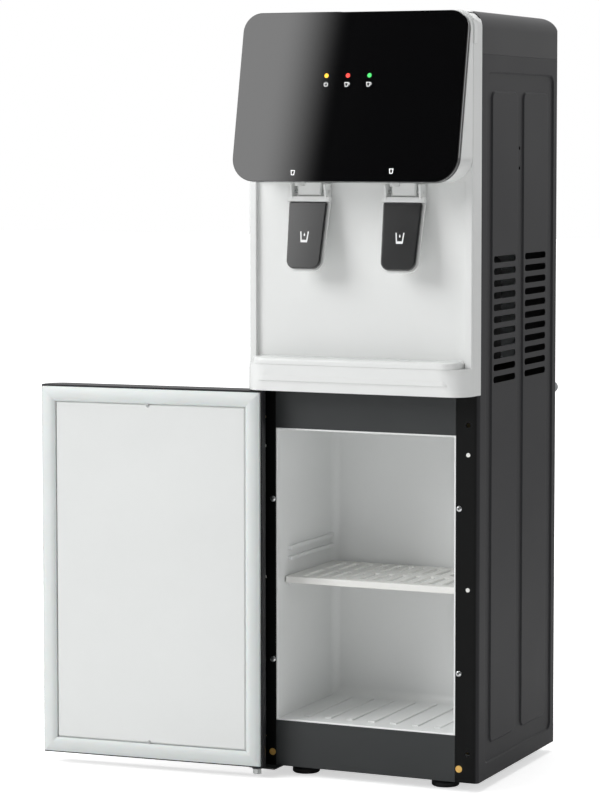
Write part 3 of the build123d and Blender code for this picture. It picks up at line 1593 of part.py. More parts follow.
with BuildPart() as power_inlet:
    flange_width = inlet_width + 2 * inlet_wall
    flange_height = inlet_height + 2 * inlet_wall
    rear_box(inlet_x, inlet_z, flange_width, flange_height, back_y - sheet, back_y + sheet)
    rear_box(inlet_x, inlet_z, inlet_width, inlet_height, back_y - inlet_depth, back_y)
    socket_width = inlet_width - 2 * inlet_wall
    socket_height = inlet_height - 2 * inlet_wall
    socket_floor_y = back_y - inlet_depth + inlet_wall + sheet
    rear_box(
        inlet_x, inlet_z, socket_width, socket_height, socket_floor_y, back_y + sheet, mode=Mode.SUBTRACT
    )
    for blade in (-1, 0, 1):
        rear_box(
            inlet_x + blade * blade_pitch,
            inlet_z,
            2 * blade_half,
            2 * blade_half_height,
            socket_floor_y - sheet,
            back_y - 4 * sheet,
        )
save(power_inlet.part, "power_inlet")

switch_names = ("heating", "cooling")
rocker_width = switch_width - 2 * switch_wall - 2 * seat_gap
with BuildPart() as switch_housings:
    for step in range(2):
        housing_x = switch_x + step * switch_pitch
        flange_width = switch_width + 2 * switch_flange
        flange_height = switch_height + 2 * switch_flange
        rear_box(housing_x, switch_z, flange_width, flange_height, back_y - sheet, back_y + sheet)
        rear_box(housing_x, switch_z, switch_width, switch_height, back_y - switch_depth, back_y)
        rear_box(
            housing_x,
            switch_z,
            switch_width - 2 * switch_wall,
            switch_height - 2 * switch_wall,
            back_y - switch_depth + switch_flange,
            back_y + sheet,
            mode=Mode.SUBTRACT,
        )
save(switch_housings.part, "switch_housings")

rocker_half = switch_height / 2 - switch_wall - seat_gap
rocker_end = rocker_half - rocker_end_gap
for step, switch_name in enumerate(switch_names):
    housing_x = switch_x + step * switch_pitch
    with BuildPart() as rocker:
        with BuildSketch(Plane.YZ.offset(housing_x - rocker_width / 2)):
            with BuildLine():
                Polyline(
                    (-rocker_depth, 0),
                    (0, rocker_end),
                    (rocker_rise, rocker_end),
                    (rocker_dip, 0),
                    (rocker_rise, -rocker_end),
                    (0, -rocker_end),
                    close=True,
                )
            make_face()
        extrude(amount=rocker_width)
    rocker_place = Location((0, back_y + sheet / 2, switch_z))
    save(rocker.part.rotate(Axis.X, rocker_tilt).moved(rocker_place), f"rocker_{switch_name}")
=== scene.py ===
# %% [markdown]
# # A floor water cooler with a storage cabinet
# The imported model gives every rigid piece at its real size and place, in metres.
# This script gives those pieces their finishes, adds the small printed and fitted
# details, and lights the whole as a plain product picture on a white floor.

# %% Load the fixed frame
import math

import bmesh
import bpy
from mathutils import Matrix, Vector


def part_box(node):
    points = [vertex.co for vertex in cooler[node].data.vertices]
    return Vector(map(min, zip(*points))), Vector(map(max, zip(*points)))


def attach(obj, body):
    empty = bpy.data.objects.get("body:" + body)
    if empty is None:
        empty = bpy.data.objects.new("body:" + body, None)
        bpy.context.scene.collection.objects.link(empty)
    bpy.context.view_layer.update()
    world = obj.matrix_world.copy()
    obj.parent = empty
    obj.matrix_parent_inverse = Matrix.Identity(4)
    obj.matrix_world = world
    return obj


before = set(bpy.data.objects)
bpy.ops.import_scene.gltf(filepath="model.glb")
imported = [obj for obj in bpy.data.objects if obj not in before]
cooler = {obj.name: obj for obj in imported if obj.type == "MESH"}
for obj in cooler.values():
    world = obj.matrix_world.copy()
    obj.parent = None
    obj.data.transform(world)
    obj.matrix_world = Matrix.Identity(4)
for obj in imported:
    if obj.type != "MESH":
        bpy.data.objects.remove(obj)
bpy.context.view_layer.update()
print("pieces in the frame:", len(cooler))

# %% [markdown]
# ## The camera
# The picture was taken from a little to the right, from far away with a long lens, with
# the lens shifted down. Those facts were solved from the straight edges of the cabinet,
# so the camera is written with numbers. A constraint that aims it at the object would be
# quicker to set up, but it would miss the small tilt that the edges give.

# %% Camera
CAMERA_AT = (1.5332, -3.7280, 0.8786)
DEGREES_DOWN = 4.354
DEGREES_TO_THE_LEFT = 23.95

view = bpy.data.cameras.new("picture_camera")
view.sensor_width = 36.0
view.lens = 130.1
view.shift_x = -0.0346
view.shift_y = -0.0527
view.clip_end = 60.0
camera = bpy.data.objects.new("picture_camera", view)
bpy.context.scene.collection.objects.link(camera)
camera.location = CAMERA_AT
camera.rotation_euler = (
    math.radians(90 - DEGREES_DOWN), 0.0, math.radians(DEGREES_TO_THE_LEFT)
)
bpy.context.scene.camera = camera
bpy.context.scene.view_settings.view_transform = "Standard"
print("camera at", tuple(camera.location))

# %% [markdown]
# ## Colour and node helpers
# A colour is picked as the sRGB hex that a screen shows, but shaders work in linear
# light, so one function turns it. Another adds a shader node with its settings and its
# links, so that a tree of nodes reads from top to bottom like a recipe. The patterns are
# sized from real millimetres: a noise scale of 1000 / mm gives one wave for each stretch
# of that many millimetres.

# %% Colour and node helpers
MM_IN_METRE = 1000.0


def linear(hex_colour):
    """sRGB hex to linear RGBA."""
    shown = [int(hex_colour[i : i + 2], 16) / 255 for i in (1, 3, 5)]
    return [c / 12.92 if c <= 0.04045 else ((c + 0.055) / 1.055) ** 2.4 for c in shown] + [1.0]


def node(tree, kind, settings=None, **inputs):
    """Adds a node. An input is a value or another node's socket, and _ stands for a space."""
    made = tree.nodes.new(kind)
    for name, value in (settings or {}).items():
        setattr(made, name, value)
    for name, value in inputs.items():
        socket = made.inputs[int(name[1:]) if name[1:].isdigit() else name.replace("_", " ")]
        if isinstance(value, bpy.types.NodeSocket):
            tree.links.new(value, socket)
        else:
            socket.default_value = value
    return made


def per_mm(size):
    """Texture scale that gives a pattern of this many millimetres in object space."""
    return MM_IN_METRE / size


print("mid grey in linear light:", round(linear("#808080")[0], 3))

# %% [markdown]
# ## What every finish shares
# No real surface is one flat colour. Paint, plastic and metal drift a little in shade and
# gloss over a hand's width, and each has a grain that comes from how it was made. An image
# could carry both, but noise that is worked out at each point needs no unwrapping and runs
# unbroken over a fold, so a finish here is a slow drift with a fine grain raised on it.
# The Bevel node also rounds the shading of edges that the model leaves sharp.
#
# At the picture's size a pixel covers about two millimetres. Most real grains are finer,
# so they are drawn coarser than they are, and each comment says by how much.

# %% Finish helpers
DRIFT_DETAIL = 4.0
BEVEL_SAMPLES = 4


def surface(name, colour, roughness, metallic=0.0, ior=None, **sockets):
    """A material with its Principled node; a metal gives no IOR and keeps the default."""
    material = bpy.data.materials.new(name)
    material.use_nodes = True
    tree = material.node_tree
    shader = tree.nodes["Principled BSDF"]
    shader.inputs["Base Color"].default_value = linear(colour)
    shader.inputs["Roughness"].default_value = roughness
    shader.inputs["Metallic"].default_value = metallic
    if ior:
        shader.inputs["IOR"].default_value = ior
    for key, value in sockets.items():
        shader.inputs[key.replace("_", " ")].default_value = value
    where = node(tree, "ShaderNodeTexCoord").outputs["Object"]
    return material, tree, shader, where


def relief(tree, shader, height, deep_mm, strength, soften_mm=0.0):
    """Raises the surface by a height pattern, and rounds sharp edges in the shading."""
    deep, soften = deep_mm / MM_IN_METRE, soften_mm / MM_IN_METRE
    raised = node(tree, "ShaderNodeBump", Height=height, Distance=deep, Strength=strength)
    if soften:
        edge = node(tree, "ShaderNodeBevel", {"samples": BEVEL_SAMPLES}, Radius=soften)
        tree.links.new(edge.outputs["Normal"], raised.inputs["Normal"])
    tree.links.new(raised.outputs["Normal"], shader.inputs["Normal"])


def finish(
    name, dark, light, rough, drift_mm,
    grain_mm=0.0, detail=2.0, cells=False, deep_mm=0.0, strength=0.4, soften_mm=0.0,
    **settings,
):
    """A material that drifts between two shades and two roughnesses, with a raised grain."""
    material, tree, shader, where = surface(name, light, rough[0], **settings)
    cloud = node(
        tree, "ShaderNodeTexNoise", Vector=where, Scale=per_mm(drift_mm), Detail=DRIFT_DETAIL
    ).outputs["Fac"]
    shade = node(
        tree, "ShaderNodeMix", {"data_type": "RGBA"}, _0=cloud, _6=linear(dark), _7=linear(light)
    )
    tree.links.new(shade.outputs[2], shader.inputs["Base Color"])
    gloss = node(tree, "ShaderNodeMapRange", Value=cloud, To_Min=rough[0], To_Max=rough[1])
    tree.links.new(gloss.outputs["Result"], shader.inputs["Roughness"])
    if grain_mm and cells:
        grain = node(tree, "ShaderNodeTexVoronoi", Vector=where, Scale=per_mm(grain_mm))
        relief(tree, shader, grain.outputs["Distance"], deep_mm, strength, soften_mm)
    elif grain_mm:
        grain = node(
            tree, "ShaderNodeTexNoise", Vector=where, Scale=per_mm(grain_mm), Detail=detail
        )
        relief(tree, shader, grain.outputs["Fac"], deep_mm, strength, soften_mm)
    return material


print("finish helpers ready")

# %% [markdown]
# ## Painted sheet steel
# The cabinet's folded sheets are steel with a dark polyester powder coat, baked on. The
# powder melts into a skin with a faint orange peel, waves of about two millimetres, which
# are drawn at their real size. The two sides, the door, the beam over the opening and the
# kick panel all come off one line, so they share the peel and differ in shade alone.

# %% Powder-coated steel
# To the eye: a satin near-black that dulls every reflection into a soft band.
powder_coat = finish(
    "graphite_powder_coat", "#2b2b2d", "#323234", rough=(0.40, 0.50), drift_mm=140,
    grain_mm=2.2, deep_mm=0.05, strength=0.5, soften_mm=0.9,
    ior=1.5, Specular_IOR_Level=0.16,
)

# To the eye: the same skin, a shade colder and glossier, as on small flat pieces.
black_coat = finish(
    "black_powder_coat", "#222526", "#2b2e2f", rough=(0.38, 0.48), drift_mm=90,
    grain_mm=2.2, deep_mm=0.05, strength=0.5, soften_mm=0.7, ior=1.5,
)
print("steel finishes:", powder_coat.name, black_coat.name)

# %% [markdown]
# ## The side panels and their dark posts
# Each side and its front post are one folded sheet of graphite. Every face of it that looks
# forward, which is the post's face, is drawn near-black, as dark as the posts' fronts look.
# Two materials on one sheet would need its faces sorted by hand, so the shader asks which
# way the sheet looks: what faces forward is near-black.

# %% Side panel coat
# To the eye: the graphite of the door on the sides, and near-black where the posts look forward.
side_coat = finish(
    "side_panel_coat_near_black_facing_forward", "#2b2b2d", "#323234", rough=(0.42, 0.52), drift_mm=140,
    grain_mm=2.2, deep_mm=0.05, strength=0.5, soften_mm=1.5,
    ior=1.5, Specular_IOR_Level=0.16,
)
tree = side_coat.node_tree
shader = tree.nodes["Principled BSDF"]
graphite = shader.inputs["Base Color"].links[0].from_socket
facing = node(tree, "ShaderNodeNewGeometry").outputs["Normal"]
forward = node(tree, "ShaderNodeSeparateXYZ", Vector=facing).outputs["Y"]
# The mask goes by facing alone: each face that looks forward is drawn near-black.
on_post = node(tree, "ShaderNodeMapRange", Value=forward, From_Min=-0.80, From_Max=-0.97)
darkened_forward = node(
    tree, "ShaderNodeMix", {"data_type": "RGBA"},
    _0=on_post.outputs["Result"], _6=graphite, _7=linear("#040505"),
)
tree.links.new(darkened_forward.outputs[2], shader.inputs["Base Color"])
print("side finish:", side_coat.name)

# %% [markdown]
# ## Moulded ABS
# The white front, head, levers and tray are injection-moulded ABS from a polished mould:
# an even cold white with a clear gloss, and very slow waves where thick ribs behind have
# shrunk. The dark cap is the same plastic from a mould with a fine spark texture. Real
# spark grain is about a tenth of a millimetre, and it is drawn over ten times coarser.

# %% Moulded ABS
# To the eye: a cold white that holds a clear but soft-edged reflection.
white_abs = finish(
    "white_gloss_abs", "#e3e5e4", "#e9eae9", rough=(0.19, 0.27), drift_mm=220,
    grain_mm=60, detail=1.0, deep_mm=0.25, strength=0.35, soften_mm=1.0, ior=1.53,
)

# To the eye: graphite without a mirror, which turns pale only along its rounded shoulder.
cap_abs = finish(
    "graphite_spark_textured_abs", "#2e2e30", "#363637", rough=(0.38, 0.46), drift_mm=120,
    grain_mm=1.4, detail=3.0, deep_mm=0.06, strength=0.6, soften_mm=1.6,
    ior=1.53, Specular_IOR_Level=0.14,
)

# To the eye: a thin dark grey rim that parts the glossy panel from the white head.
bezel_abs = finish(
    "dark_grey_bezel_abs", "#2a2b2d", "#333436", rough=(0.30, 0.40), drift_mm=60,
    grain_mm=1.4, deep_mm=0.04, soften_mm=0.6, ior=1.53,
)
print("moulded finishes:", white_abs.name, cap_abs.name, bezel_abs.name)

# %% [markdown]
# ## What a hand touches
# The lever pads are black ABS with a clear lacquer over a satin skin, and the rear
# switches and the inlet are black nylon, which is drier to the eye. A second gloss layer
# over a duller one is what the shader's coat is for, so the pads have it.

# %% Pads and switches
# To the eye: black with a pale sheen where the pad leans towards the light. Its grain is
# drawn about ten times coarser.
pad_abs = finish(
    "satin_black_lever_pad_abs", "#101112", "#181919", rough=(0.20, 0.26), drift_mm=50,
    grain_mm=1.2, deep_mm=0.03, soften_mm=0.6,
    ior=1.53, Coat_Weight=1.0, Coat_Roughness=0.10,
)

# To the eye: a dry, slightly uneven black. Its grain is drawn about eight times coarser.
switch_nylon = finish(
    "black_switch_nylon", "#131415", "#1b1c1d", rough=(0.40, 0.52), drift_mm=20,
    grain_mm=0.8, deep_mm=0.03, ior=1.53,
)
print("touched finishes:", pad_abs.name, switch_nylon.name)

# %% [markdown]
# ## Display panel and its lamps
# The black front of the head is clear acrylic painted black on its back. The eye sees two
# layers: a hard clear face that mirrors the studio, and deep black under it. A coat over a
# nearly black base gives both without a second sheet. The lamps behind it are small
# faceted lenses. Each is brightest at its middle, over the diode, so its glow is mixed by
# the distance from the lens's own centre.

# %% Back-painted acrylic
# To the eye: a black mirror, with a slow wave that bends what it mirrors.
acrylic, tree, shader, where = surface(
    "back_painted_acrylic", "#060607", 0.05, ior=1.49, Coat_Weight=1.0, Coat_Roughness=0.02
)
wave = node(tree, "ShaderNodeTexNoise", Vector=where, Scale=per_mm(180), Detail=1.0)
relief(tree, shader, wave.outputs["Fac"], deep_mm=0.12, strength=0.3)
print("panel finish:", acrylic.name)

# %% Indicator lenses
# To the eye: a coloured dot with a pale heart, and a sparkle of facets about a millimetre wide.
# Both in metres from the lens's middle.
HOT_CORE, LENS_EDGE = 0.0012, 0.0032
PALE_HEART = "#fff3dc"
lens_glow = {}
for lens_name, tint, power in (
    ("lens_amber", "#f0b429", 0.9),
    ("lens_red", "#e0352b", 1.0),
    ("lens_green", "#37c05a", 0.9),
):
    diffuser, tree, shader, where = surface(
        lens_name + "_diffuser", tint, 0.25, ior=1.49, Emission_Strength=power
    )
    low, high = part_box(lens_name)
    middle = [(low[i] + high[i]) / 2 for i in range(3)]
    spread = node(
        tree, "ShaderNodeVectorMath", {"operation": "DISTANCE"}, _0=where, _1=middle
    ).outputs["Value"]
    core = node(
        tree, "ShaderNodeMapRange", Value=spread, From_Min=HOT_CORE, From_Max=LENS_EDGE
    ).outputs["Result"]
    lit = node(
        tree, "ShaderNodeMix", {"data_type": "RGBA"},
        _0=core, _6=linear(PALE_HEART), _7=linear(tint),
    )
    tree.links.new(lit.outputs[2], shader.inputs["Emission Color"])
    facets = node(tree, "ShaderNodeTexVoronoi", Vector=where, Scale=per_mm(1.2))
    relief(tree, shader, facets.outputs["Distance"], deep_mm=0.1, strength=0.4)
    lens_glow[lens_name] = diffuser
print("lenses:", sorted(lens_glow))

# %% [markdown]
# ## Vacuum-formed liner and shelf
# The cabinet liner and the door's inner panel are polystyrene sheet drawn over a mould, so
# they are softer in gloss than ABS, with a faint leathery stipple of some three
# millimetres. The door's panel is drawn a shade greyer than the liner, which is painted
# shade: it holds back the stronger key light on the open door. The shelf and the small
# plugs and bushes are moulded polypropylene, warmer and a little waxy.

# %% Liner plastics
# To the eye: a soft white whose stipple breaks the light of the opening into a haze.
liner_ps = finish(
    "vacuum_formed_polystyrene", "#e8eae9", "#f0f1f1", rough=(0.33, 0.44), drift_mm=160,
    grain_mm=3.0, detail=3.0, deep_mm=0.08, strength=0.35, soften_mm=1.0, ior=1.57,
)
# The door's copy is drawn a shade greyer: painted shade against the key light on the open door.
door_ps_shaded = finish(
    "vacuum_formed_door_panel_painted_shade", "#dcdedd", "#e4e6e5", rough=(0.33, 0.44), drift_mm=160,
    grain_mm=3.0, detail=3.0, deep_mm=0.08, strength=0.35, soften_mm=1.0, ior=1.57,
)

# To the eye: a warm white with a waxy gloss. Its grain is drawn ten times coarser.
shelf_pp = finish(
    "moulded_polypropylene", "#e5e5e1", "#ecece9", rough=(0.30, 0.40), drift_mm=90,
    grain_mm=1.6, deep_mm=0.05, strength=0.3, soften_mm=0.8, ior=1.49,
)
print("formed finishes:", liner_ps.name, door_ps_shaded.name, shelf_pp.name)

# %% [markdown]
# ## Soft pieces
# The gasket is plasticised vinyl, extruded round a magnet strip, and the tubes are milky
# silicone. Light goes a little way into both, so they get some subsurface. The feet and
# the compressor's mounts are rubber from a blasted mould, which lets no light in.

# %% Vinyl, silicone and rubber
# To the eye: a matt greyish white next to the door's glossier one, with its grain drawn
# coarser than it is.
gasket_vinyl = finish(
    "white_gasket_vinyl", "#d4d6d5", "#dddfde", rough=(0.45, 0.58), drift_mm=60,
    grain_mm=1.5, deep_mm=0.05, soften_mm=0.8, ior=1.52, Subsurface_Weight=0.1,
)

# To the eye: a milky tube that glows a little at its edges, with slow waves from the die.
silicone = finish(
    "milky_silicone_tube", "#d8dcdb", "#e6e8e7", rough=(0.35, 0.46), drift_mm=40,
    grain_mm=2.0, detail=1.0, deep_mm=0.05, strength=0.3, ior=1.41, Subsurface_Weight=0.3,
)

# To the eye: a black that swallows light. Its grain is drawn about five times coarser.
rubber = finish(
    "black_moulded_rubber", "#0a0a0a", "#141414", rough=(0.58, 0.74), drift_mm=30,
    grain_mm=1.0, detail=3.0, deep_mm=0.08, strength=0.5, soften_mm=0.8, ior=1.52,
)
print("soft finishes:", gasket_vinyl.name, silicone.name, rubber.name)

# %% [markdown]
# ## Foams and the drain cap
# Polyurethane is poured between liner and steel and sets to a straw-coloured foam, and the
# tanks wear foam jackets. The jackets are drawn black, which is painted shade: it keeps the
# cabinet's dim inside dark through the vent slots. Foam is made of bubbles, so its grain is
# a pattern of cells, drawn coarser than the real half millimetre. The drain cap at the back
# is a small grey moulding.

# %% Foams and drain cap
# To the eye: dull, dry and pitted, with no highlight at all.
foam = finish(
    "rigid_polyurethane_foam", "#d6c084", "#ead9a8", rough=(0.80, 0.92), drift_mm=50,
    grain_mm=2.0, cells=True, deep_mm=0.4, strength=0.6, ior=1.5,
)
# The jackets' black is painted shade, which keeps the inside dark through the vent slots.
shaded_jacket = finish(
    "tank_foam_drawn_black_painted_shade", "#0d0d0d", "#171717", rough=(0.80, 0.92), drift_mm=40,
    grain_mm=3.0, cells=True, deep_mm=0.4, strength=0.6, ior=1.5,
)

# To the eye: a plain mid grey disc against the dark side. Its grain is drawn ten times
# coarser.
cap_grey = finish(
    "grey_drain_cap_plastic", "#87898c", "#94979a", rough=(0.38, 0.48), drift_mm=20,
    grain_mm=1.2, deep_mm=0.04, soften_mm=0.5, ior=1.49,
)
print("foams and cap:", foam.name, shaded_jacket.name, cap_grey.name)

# %% [markdown]
# ## Bare sheet and drawn metal
# The pan and deck are hot-dip galvanised sheet, whose zinc freezes in crystals of about a
# centimetre. A cell pattern gives each crystal its own dullness, and that is all it takes.
# The cold tank is stainless steel drawn into a cup, which leaves fine marks round it: a
# noise squeezed forty times along its height gives those without a line being drawn.

# %% Galvanised sheet and stainless steel
# To the eye: a grey metal with a patchwork of duller and brighter flakes.
galvanised, tree, shader, where = surface("galvanised_sheet", "#a9adaf", 0.42, metallic=1.0)
spangle = node(tree, "ShaderNodeTexVoronoi", Vector=where, Scale=per_mm(11))
dullness = node(
    tree, "ShaderNodeMapRange", Value=spangle.outputs["Color"], To_Min=0.34, To_Max=0.5
)
tree.links.new(dullness.outputs["Result"], shader.inputs["Roughness"])
relief(tree, shader, spangle.outputs["Distance"], deep_mm=0.03, strength=0.3, soften_mm=0.5)

# To the eye: a highlight that is drawn out round the tank.
SQUEEZE = (1.0, 1.0, 40.0)
stainless, tree, shader, where = surface("drawn_stainless_steel", "#c4c5c6", 0.30, metallic=1.0)
squeezed = node(tree, "ShaderNodeMapping", Vector=where, Scale=SQUEEZE).outputs["Vector"]
draw_lines = node(
    tree, "ShaderNodeTexNoise", Vector=squeezed, Scale=per_mm(25), Detail=3.0
)
relief(tree, shader, draw_lines.outputs["Fac"], deep_mm=0.03, strength=0.3)
print("bare metals:", galvanised.name, stainless.name)

# %% [markdown]
# ## Small plated and enamelled metal
# Hinge pins are plated with bright zinc, rivets are aluminium, and the screws at the foot
# of the posts are brassed. They are a few millimetres wide, so what shows is one bright
# dot each, and the two shades they drift between are further apart than on a large piece.
# The rear condenser's tube and wire are dipped in black enamel.

# %% Plated and enamelled metal
# To the eye: small cold highlights, with the scratches of handling drawn coarser.
zinc_plate = finish(
    "bright_zinc_plate", "#bfc3c4", "#d2d3d0", rough=(0.22, 0.36), drift_mm=15,
    grain_mm=1.0, detail=3.0, deep_mm=0.02, soften_mm=0.4, metallic=1.0,
)
rivet_metal = finish(
    "bright_aluminium_rivet", "#c8cacb", "#e8e9ea", rough=(0.20, 0.35), drift_mm=4,
    grain_mm=0.8, deep_mm=0.02, metallic=1.0,
)

# To the eye: a yellow dot. A thin brass wash under lacquer shows some plain colour, so it
# is only about half metallic.
brass = finish(
    "brass_plated_screw", "#d8a64c", "#efc676", rough=(0.24, 0.38), drift_mm=5,
    grain_mm=0.8, deep_mm=0.02, metallic=0.55,
)

# To the eye: a wet black with soft runs of some three millimetres.
black_enamel = finish(
    "black_enamelled_steel", "#0d0e0f", "#17181a", rough=(0.30, 0.42), drift_mm=40,
    grain_mm=3.0, deep_mm=0.05, soften_mm=0.4, ior=1.5,
)
print("small metals:", zinc_plate.name, rivet_metal.name, brass.name, black_enamel.name)

# %% [markdown]
# ## The indicator board
# The small board behind the lenses is fibreglass under a green solder mask, whose copper
# tracks stand a little proud. A brick pattern's joints make a fair grid of tracks, wider
# apart than real ones, so that they show.

# %% Solder mask
# To the eye: a deep green lacquer with a raised grid.
board_mask, tree, shader, where = surface("green_solder_mask", "#12502c", 0.35, ior=1.5)
tracks = node(tree, "ShaderNodeTexBrick", Vector=where, Scale=per_mm(6.0))
relief(tree, shader, tracks.outputs["Fac"], deep_mm=0.03, strength=0.3)
print("board finish:", board_mask.name)

# %% [markdown]
# ## Give each piece its finish
# The rigid pieces keep their shape from the frame, and only the slot of each is filled.
# One table from finish to pieces is easier to check than a line for each piece.

# %% Finishes on the pieces
finish_of = {
    side_coat: "side_panel_left side_panel_right",
    powder_coat: "door_skin back_panel",
    black_coat: "beam_panel kick_panel upper_hinge_plate lower_hinge_plate",
    white_abs: "front_fascia head_housing drip_tray drip_cover lever_left lever_right"
    " tap_block_left tap_block_right tap_left tap_right bottle_seat piercing_spike",
    cap_abs: "top_cap",
    bezel_abs: "display_bezel",
    acrylic: "display_panel",
    pad_abs: "lever_pad_left lever_pad_right",
    switch_nylon: "switch_housings power_inlet",
    liner_ps: "cabinet_liner",
    door_ps_shaded: "door_inner_panel",
    shelf_pp: "shelf post_plugs door_bushes",
    gasket_vinyl: "door_gasket",
    rubber: "feet compressor_mounts",
    silicone: "cold_pipe hot_pipe drain_pipe",
    foam: "cabinet_insulation door_core",
    shaded_jacket: "cold_tank_insulation hot_tank",
    cap_grey: "drain_cap",
    galvanised: "base_pan tank_deck",
    zinc_plate: "hinge_pins lever_pins",
    rivet_metal: "post_rivets",
    brass: "brass_screws",
    stainless: "cold_tank",
    black_enamel: "condenser condenser_brackets compressor",
    board_mask: "indicator_board",
    lens_glow["lens_amber"]: "lens_amber",
    lens_glow["lens_red"]: "lens_red rocker_heating",
    lens_glow["lens_green"]: "lens_green rocker_cooling",
}
dressed = set()
for material, names in finish_of.items():
    for name in names.split():
        for slot in cooler[name].material_slots:
            slot.material = material
        dressed.add(name)
print("pieces without a finish:", sorted(set(cooler) - dressed))

# %% [markdown]
# ## Printed marks
# Marks on the panel are screen-printed in white ink. They could be an image on the panel,
# but ink is a real layer, so each mark is a set of flat shapes a few hundredths of a
# millimetre proud of the piece. They are drawn as outlines in the plane of that piece, and
# a bmesh face is made from each outline, so the marks stay crisp at any distance.

# %% Print helpers
WELD = 1e-7
# The display face leans back from its lower edge by this much.
PANEL_TILT = math.radians(11.58)
PANEL_FOOT = Vector((0.0, -0.2316, 0.8205))
PANEL_INK_MM = 0.05

# To the eye: a flat clean white. It glows a little, which is painted light: it keeps the ink
# white where the panel round it mirrors a dark room.
glowing_print_ink = finish(
    "white_screen_print_painted_glow", "#e9eaeb", "#f4f4f4", rough=(0.40, 0.52), drift_mm=8,
    ior=1.5, Emission_Strength=0.35,
)


def panel_point(x_mm, height_mm):
    """A point on the display face's ink, by its X and its height over the floor."""
    lean, rise = math.sin(PANEL_TILT), math.cos(PANEL_TILT)
    up = (height_mm / MM_IN_METRE - PANEL_FOOT.z) / rise
    across = Vector((x_mm / MM_IN_METRE, lean * up, rise * up))
    return PANEL_FOOT + across + Vector((0.0, -rise, lean)) * (PANEL_INK_MM / MM_IN_METRE)


def fitted(name, shape, body, material):
    """Turns a finished bmesh into an object that rides on a body and fills a slot."""
    mesh = bpy.data.meshes.new(name)
    shape.to_mesh(mesh)
    shape.free()
    piece = bpy.data.objects.new(name, mesh)
    bpy.context.scene.collection.objects.link(piece)
    mesh.materials.append(material)
    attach(piece, body)


def printed(name, faces, body, material):
    """One printed object from a list of faces given by their points."""
    shape = bmesh.new()
    for corners in faces:
        shape.faces.new([shape.verts.new(corner) for corner in corners])
    bmesh.ops.remove_doubles(shape, verts=shape.verts, dist=WELD)
    fitted(name, shape, body, material)


print("ink:", glowing_print_ink.name)

# %% [markdown]
# ## Rings and cups
# The generic signs on the panel are made from two strokes of ink: an arc of constant width,
# and a cup that narrows to its foot. Both take the function that turns x and height into a
# point of the face, so that they lie flat on whatever they are printed on.


# %% Sign strokes
def ring_on(place, x, z, radius, width, start, end, steps):
    """A printed arc round a point of a face, in degrees clockwise from the top."""
    angles = [math.radians(start + (end - start) * i / steps) for i in range(steps + 1)]
    edges = []
    for reach in (radius - width / 2, radius + width / 2):
        edges.append([place(x + reach * math.sin(a), z + reach * math.cos(a)) for a in angles])
    inner, outer = edges
    return [(inner[i], inner[i + 1], outer[i + 1], outer[i]) for i in range(steps)]


def cup_on(place, x, z, width, height, line):
    """A printed cup in outline, which narrows to its foot."""
    top, foot, rise = width / 2, width * 0.34, height / 2
    corners = [(-top, rise), (-foot, -rise), (foot, -rise), (top, rise)]
    faces = []
    for (ax, az), (bx, bz) in zip(corners, corners[1:] + corners[:1]):
        run = Vector((bx - ax, bz - az)).normalized() * (line / 2)
        side = Vector((-run.y, run.x))
        faces.append(
            [
                place(x + ax - run.x + side.x, z + az - run.y + side.y),
                place(x + bx + run.x + side.x, z + bz + run.y + side.y),
                place(x + bx + run.x - side.x, z + bz + run.y - side.y),
                place(x + ax - run.x - side.x, z + az - run.y - side.y),
            ]
        )
    return faces


print("sign strokes: ring, cup")

# %% [markdown]
# ## Marks on the display
# Under the lamps stand a power ring with its stroke and two cups with handles, and over
# each outlet a small cup. Their places are millimetres across from the middle and over the
# floor.

# %% Marks on the display
POWER_X, POWER_Z = -34.2, 949.2
POWER_STROKE = ((-0.4, 0.2), (0.4, 0.2), (0.4, 3.4), (-0.4, 3.4))
CUP_XS = (-3.9, 27.6)
OUTLET_CUPS = ((-71.8, 832.3), (69.7, 835.0))

marks = ring_on(
    panel_point, POWER_X, POWER_Z, radius=2.6, width=0.8, start=35, end=325, steps=28
)
marks.append([panel_point(POWER_X + dx, POWER_Z + dz) for dx, dz in POWER_STROKE])
# Each cup stands a little left of its place, which leaves room for the handle's arc.
for cup_x in CUP_XS:
    marks += cup_on(panel_point, cup_x - 0.6, 949.0, width=5.0, height=5.0, line=0.8)
    marks += ring_on(
        panel_point, cup_x + 2.1, 949.6, radius=1.5, width=0.7, start=10, end=170, steps=10
    )
printed("display_marks", marks, "cabinet", glowing_print_ink)

outlet_marks = []
for cup_x, cup_z in OUTLET_CUPS:
    outlet_marks += cup_on(panel_point, cup_x, cup_z, width=5.0, height=5.6, line=1.1)
printed("outlet_marks", outlet_marks, "cabinet", glowing_print_ink)
print("printed faces:", len(marks) + len(outlet_marks))

# %% [markdown]
# ## Marks on the levers
# Each lever pad carries one white mark, a glass with a drop over it, so that a hand knows
# where to press a cup. It is pad-printed, so it is a flat shape again: two slanting sides, a
# thick foot, and a drop of eight corners. The pad leans back, so down is along its face.

# %% Marks on the levers
# The pad's face starts at this height under the head, and the mark is so far down along it.
PAD_TILT = math.radians(11.7)
PAD_TOP_Y, PAD_TOP_Z = -0.187, 0.793
MARK_DOWN_MM = 48.0
PAD_INK_MM = 0.06
MARK_XS = (("left", -69.8), ("right", 68.7))
GLASS = [
    [(-6.4, 7.4), (-4.7, 7.4), (-3.4, -4.0), (-5.2, -4.0)],
    [(6.4, 7.4), (4.7, 7.4), (3.4, -4.0), (5.2, -4.0)],
    [(-5.2, -4.0), (5.2, -4.0), (4.7, -7.4), (-4.7, -7.4)],
    [
        (0.0, 5.6), (0.7, 4.0), (1.2, 2.6), (0.8, 1.4),
        (0.0, 1.0), (-0.8, 1.4), (-1.2, 2.6), (-0.7, 4.0),
    ],
]

# To the eye: a dense white on black, lit by the lamps alone.
pad_ink = finish(
    "white_pad_print", "#ecedee", "#f6f6f6", rough=(0.40, 0.52), drift_mm=8, ior=1.5
)


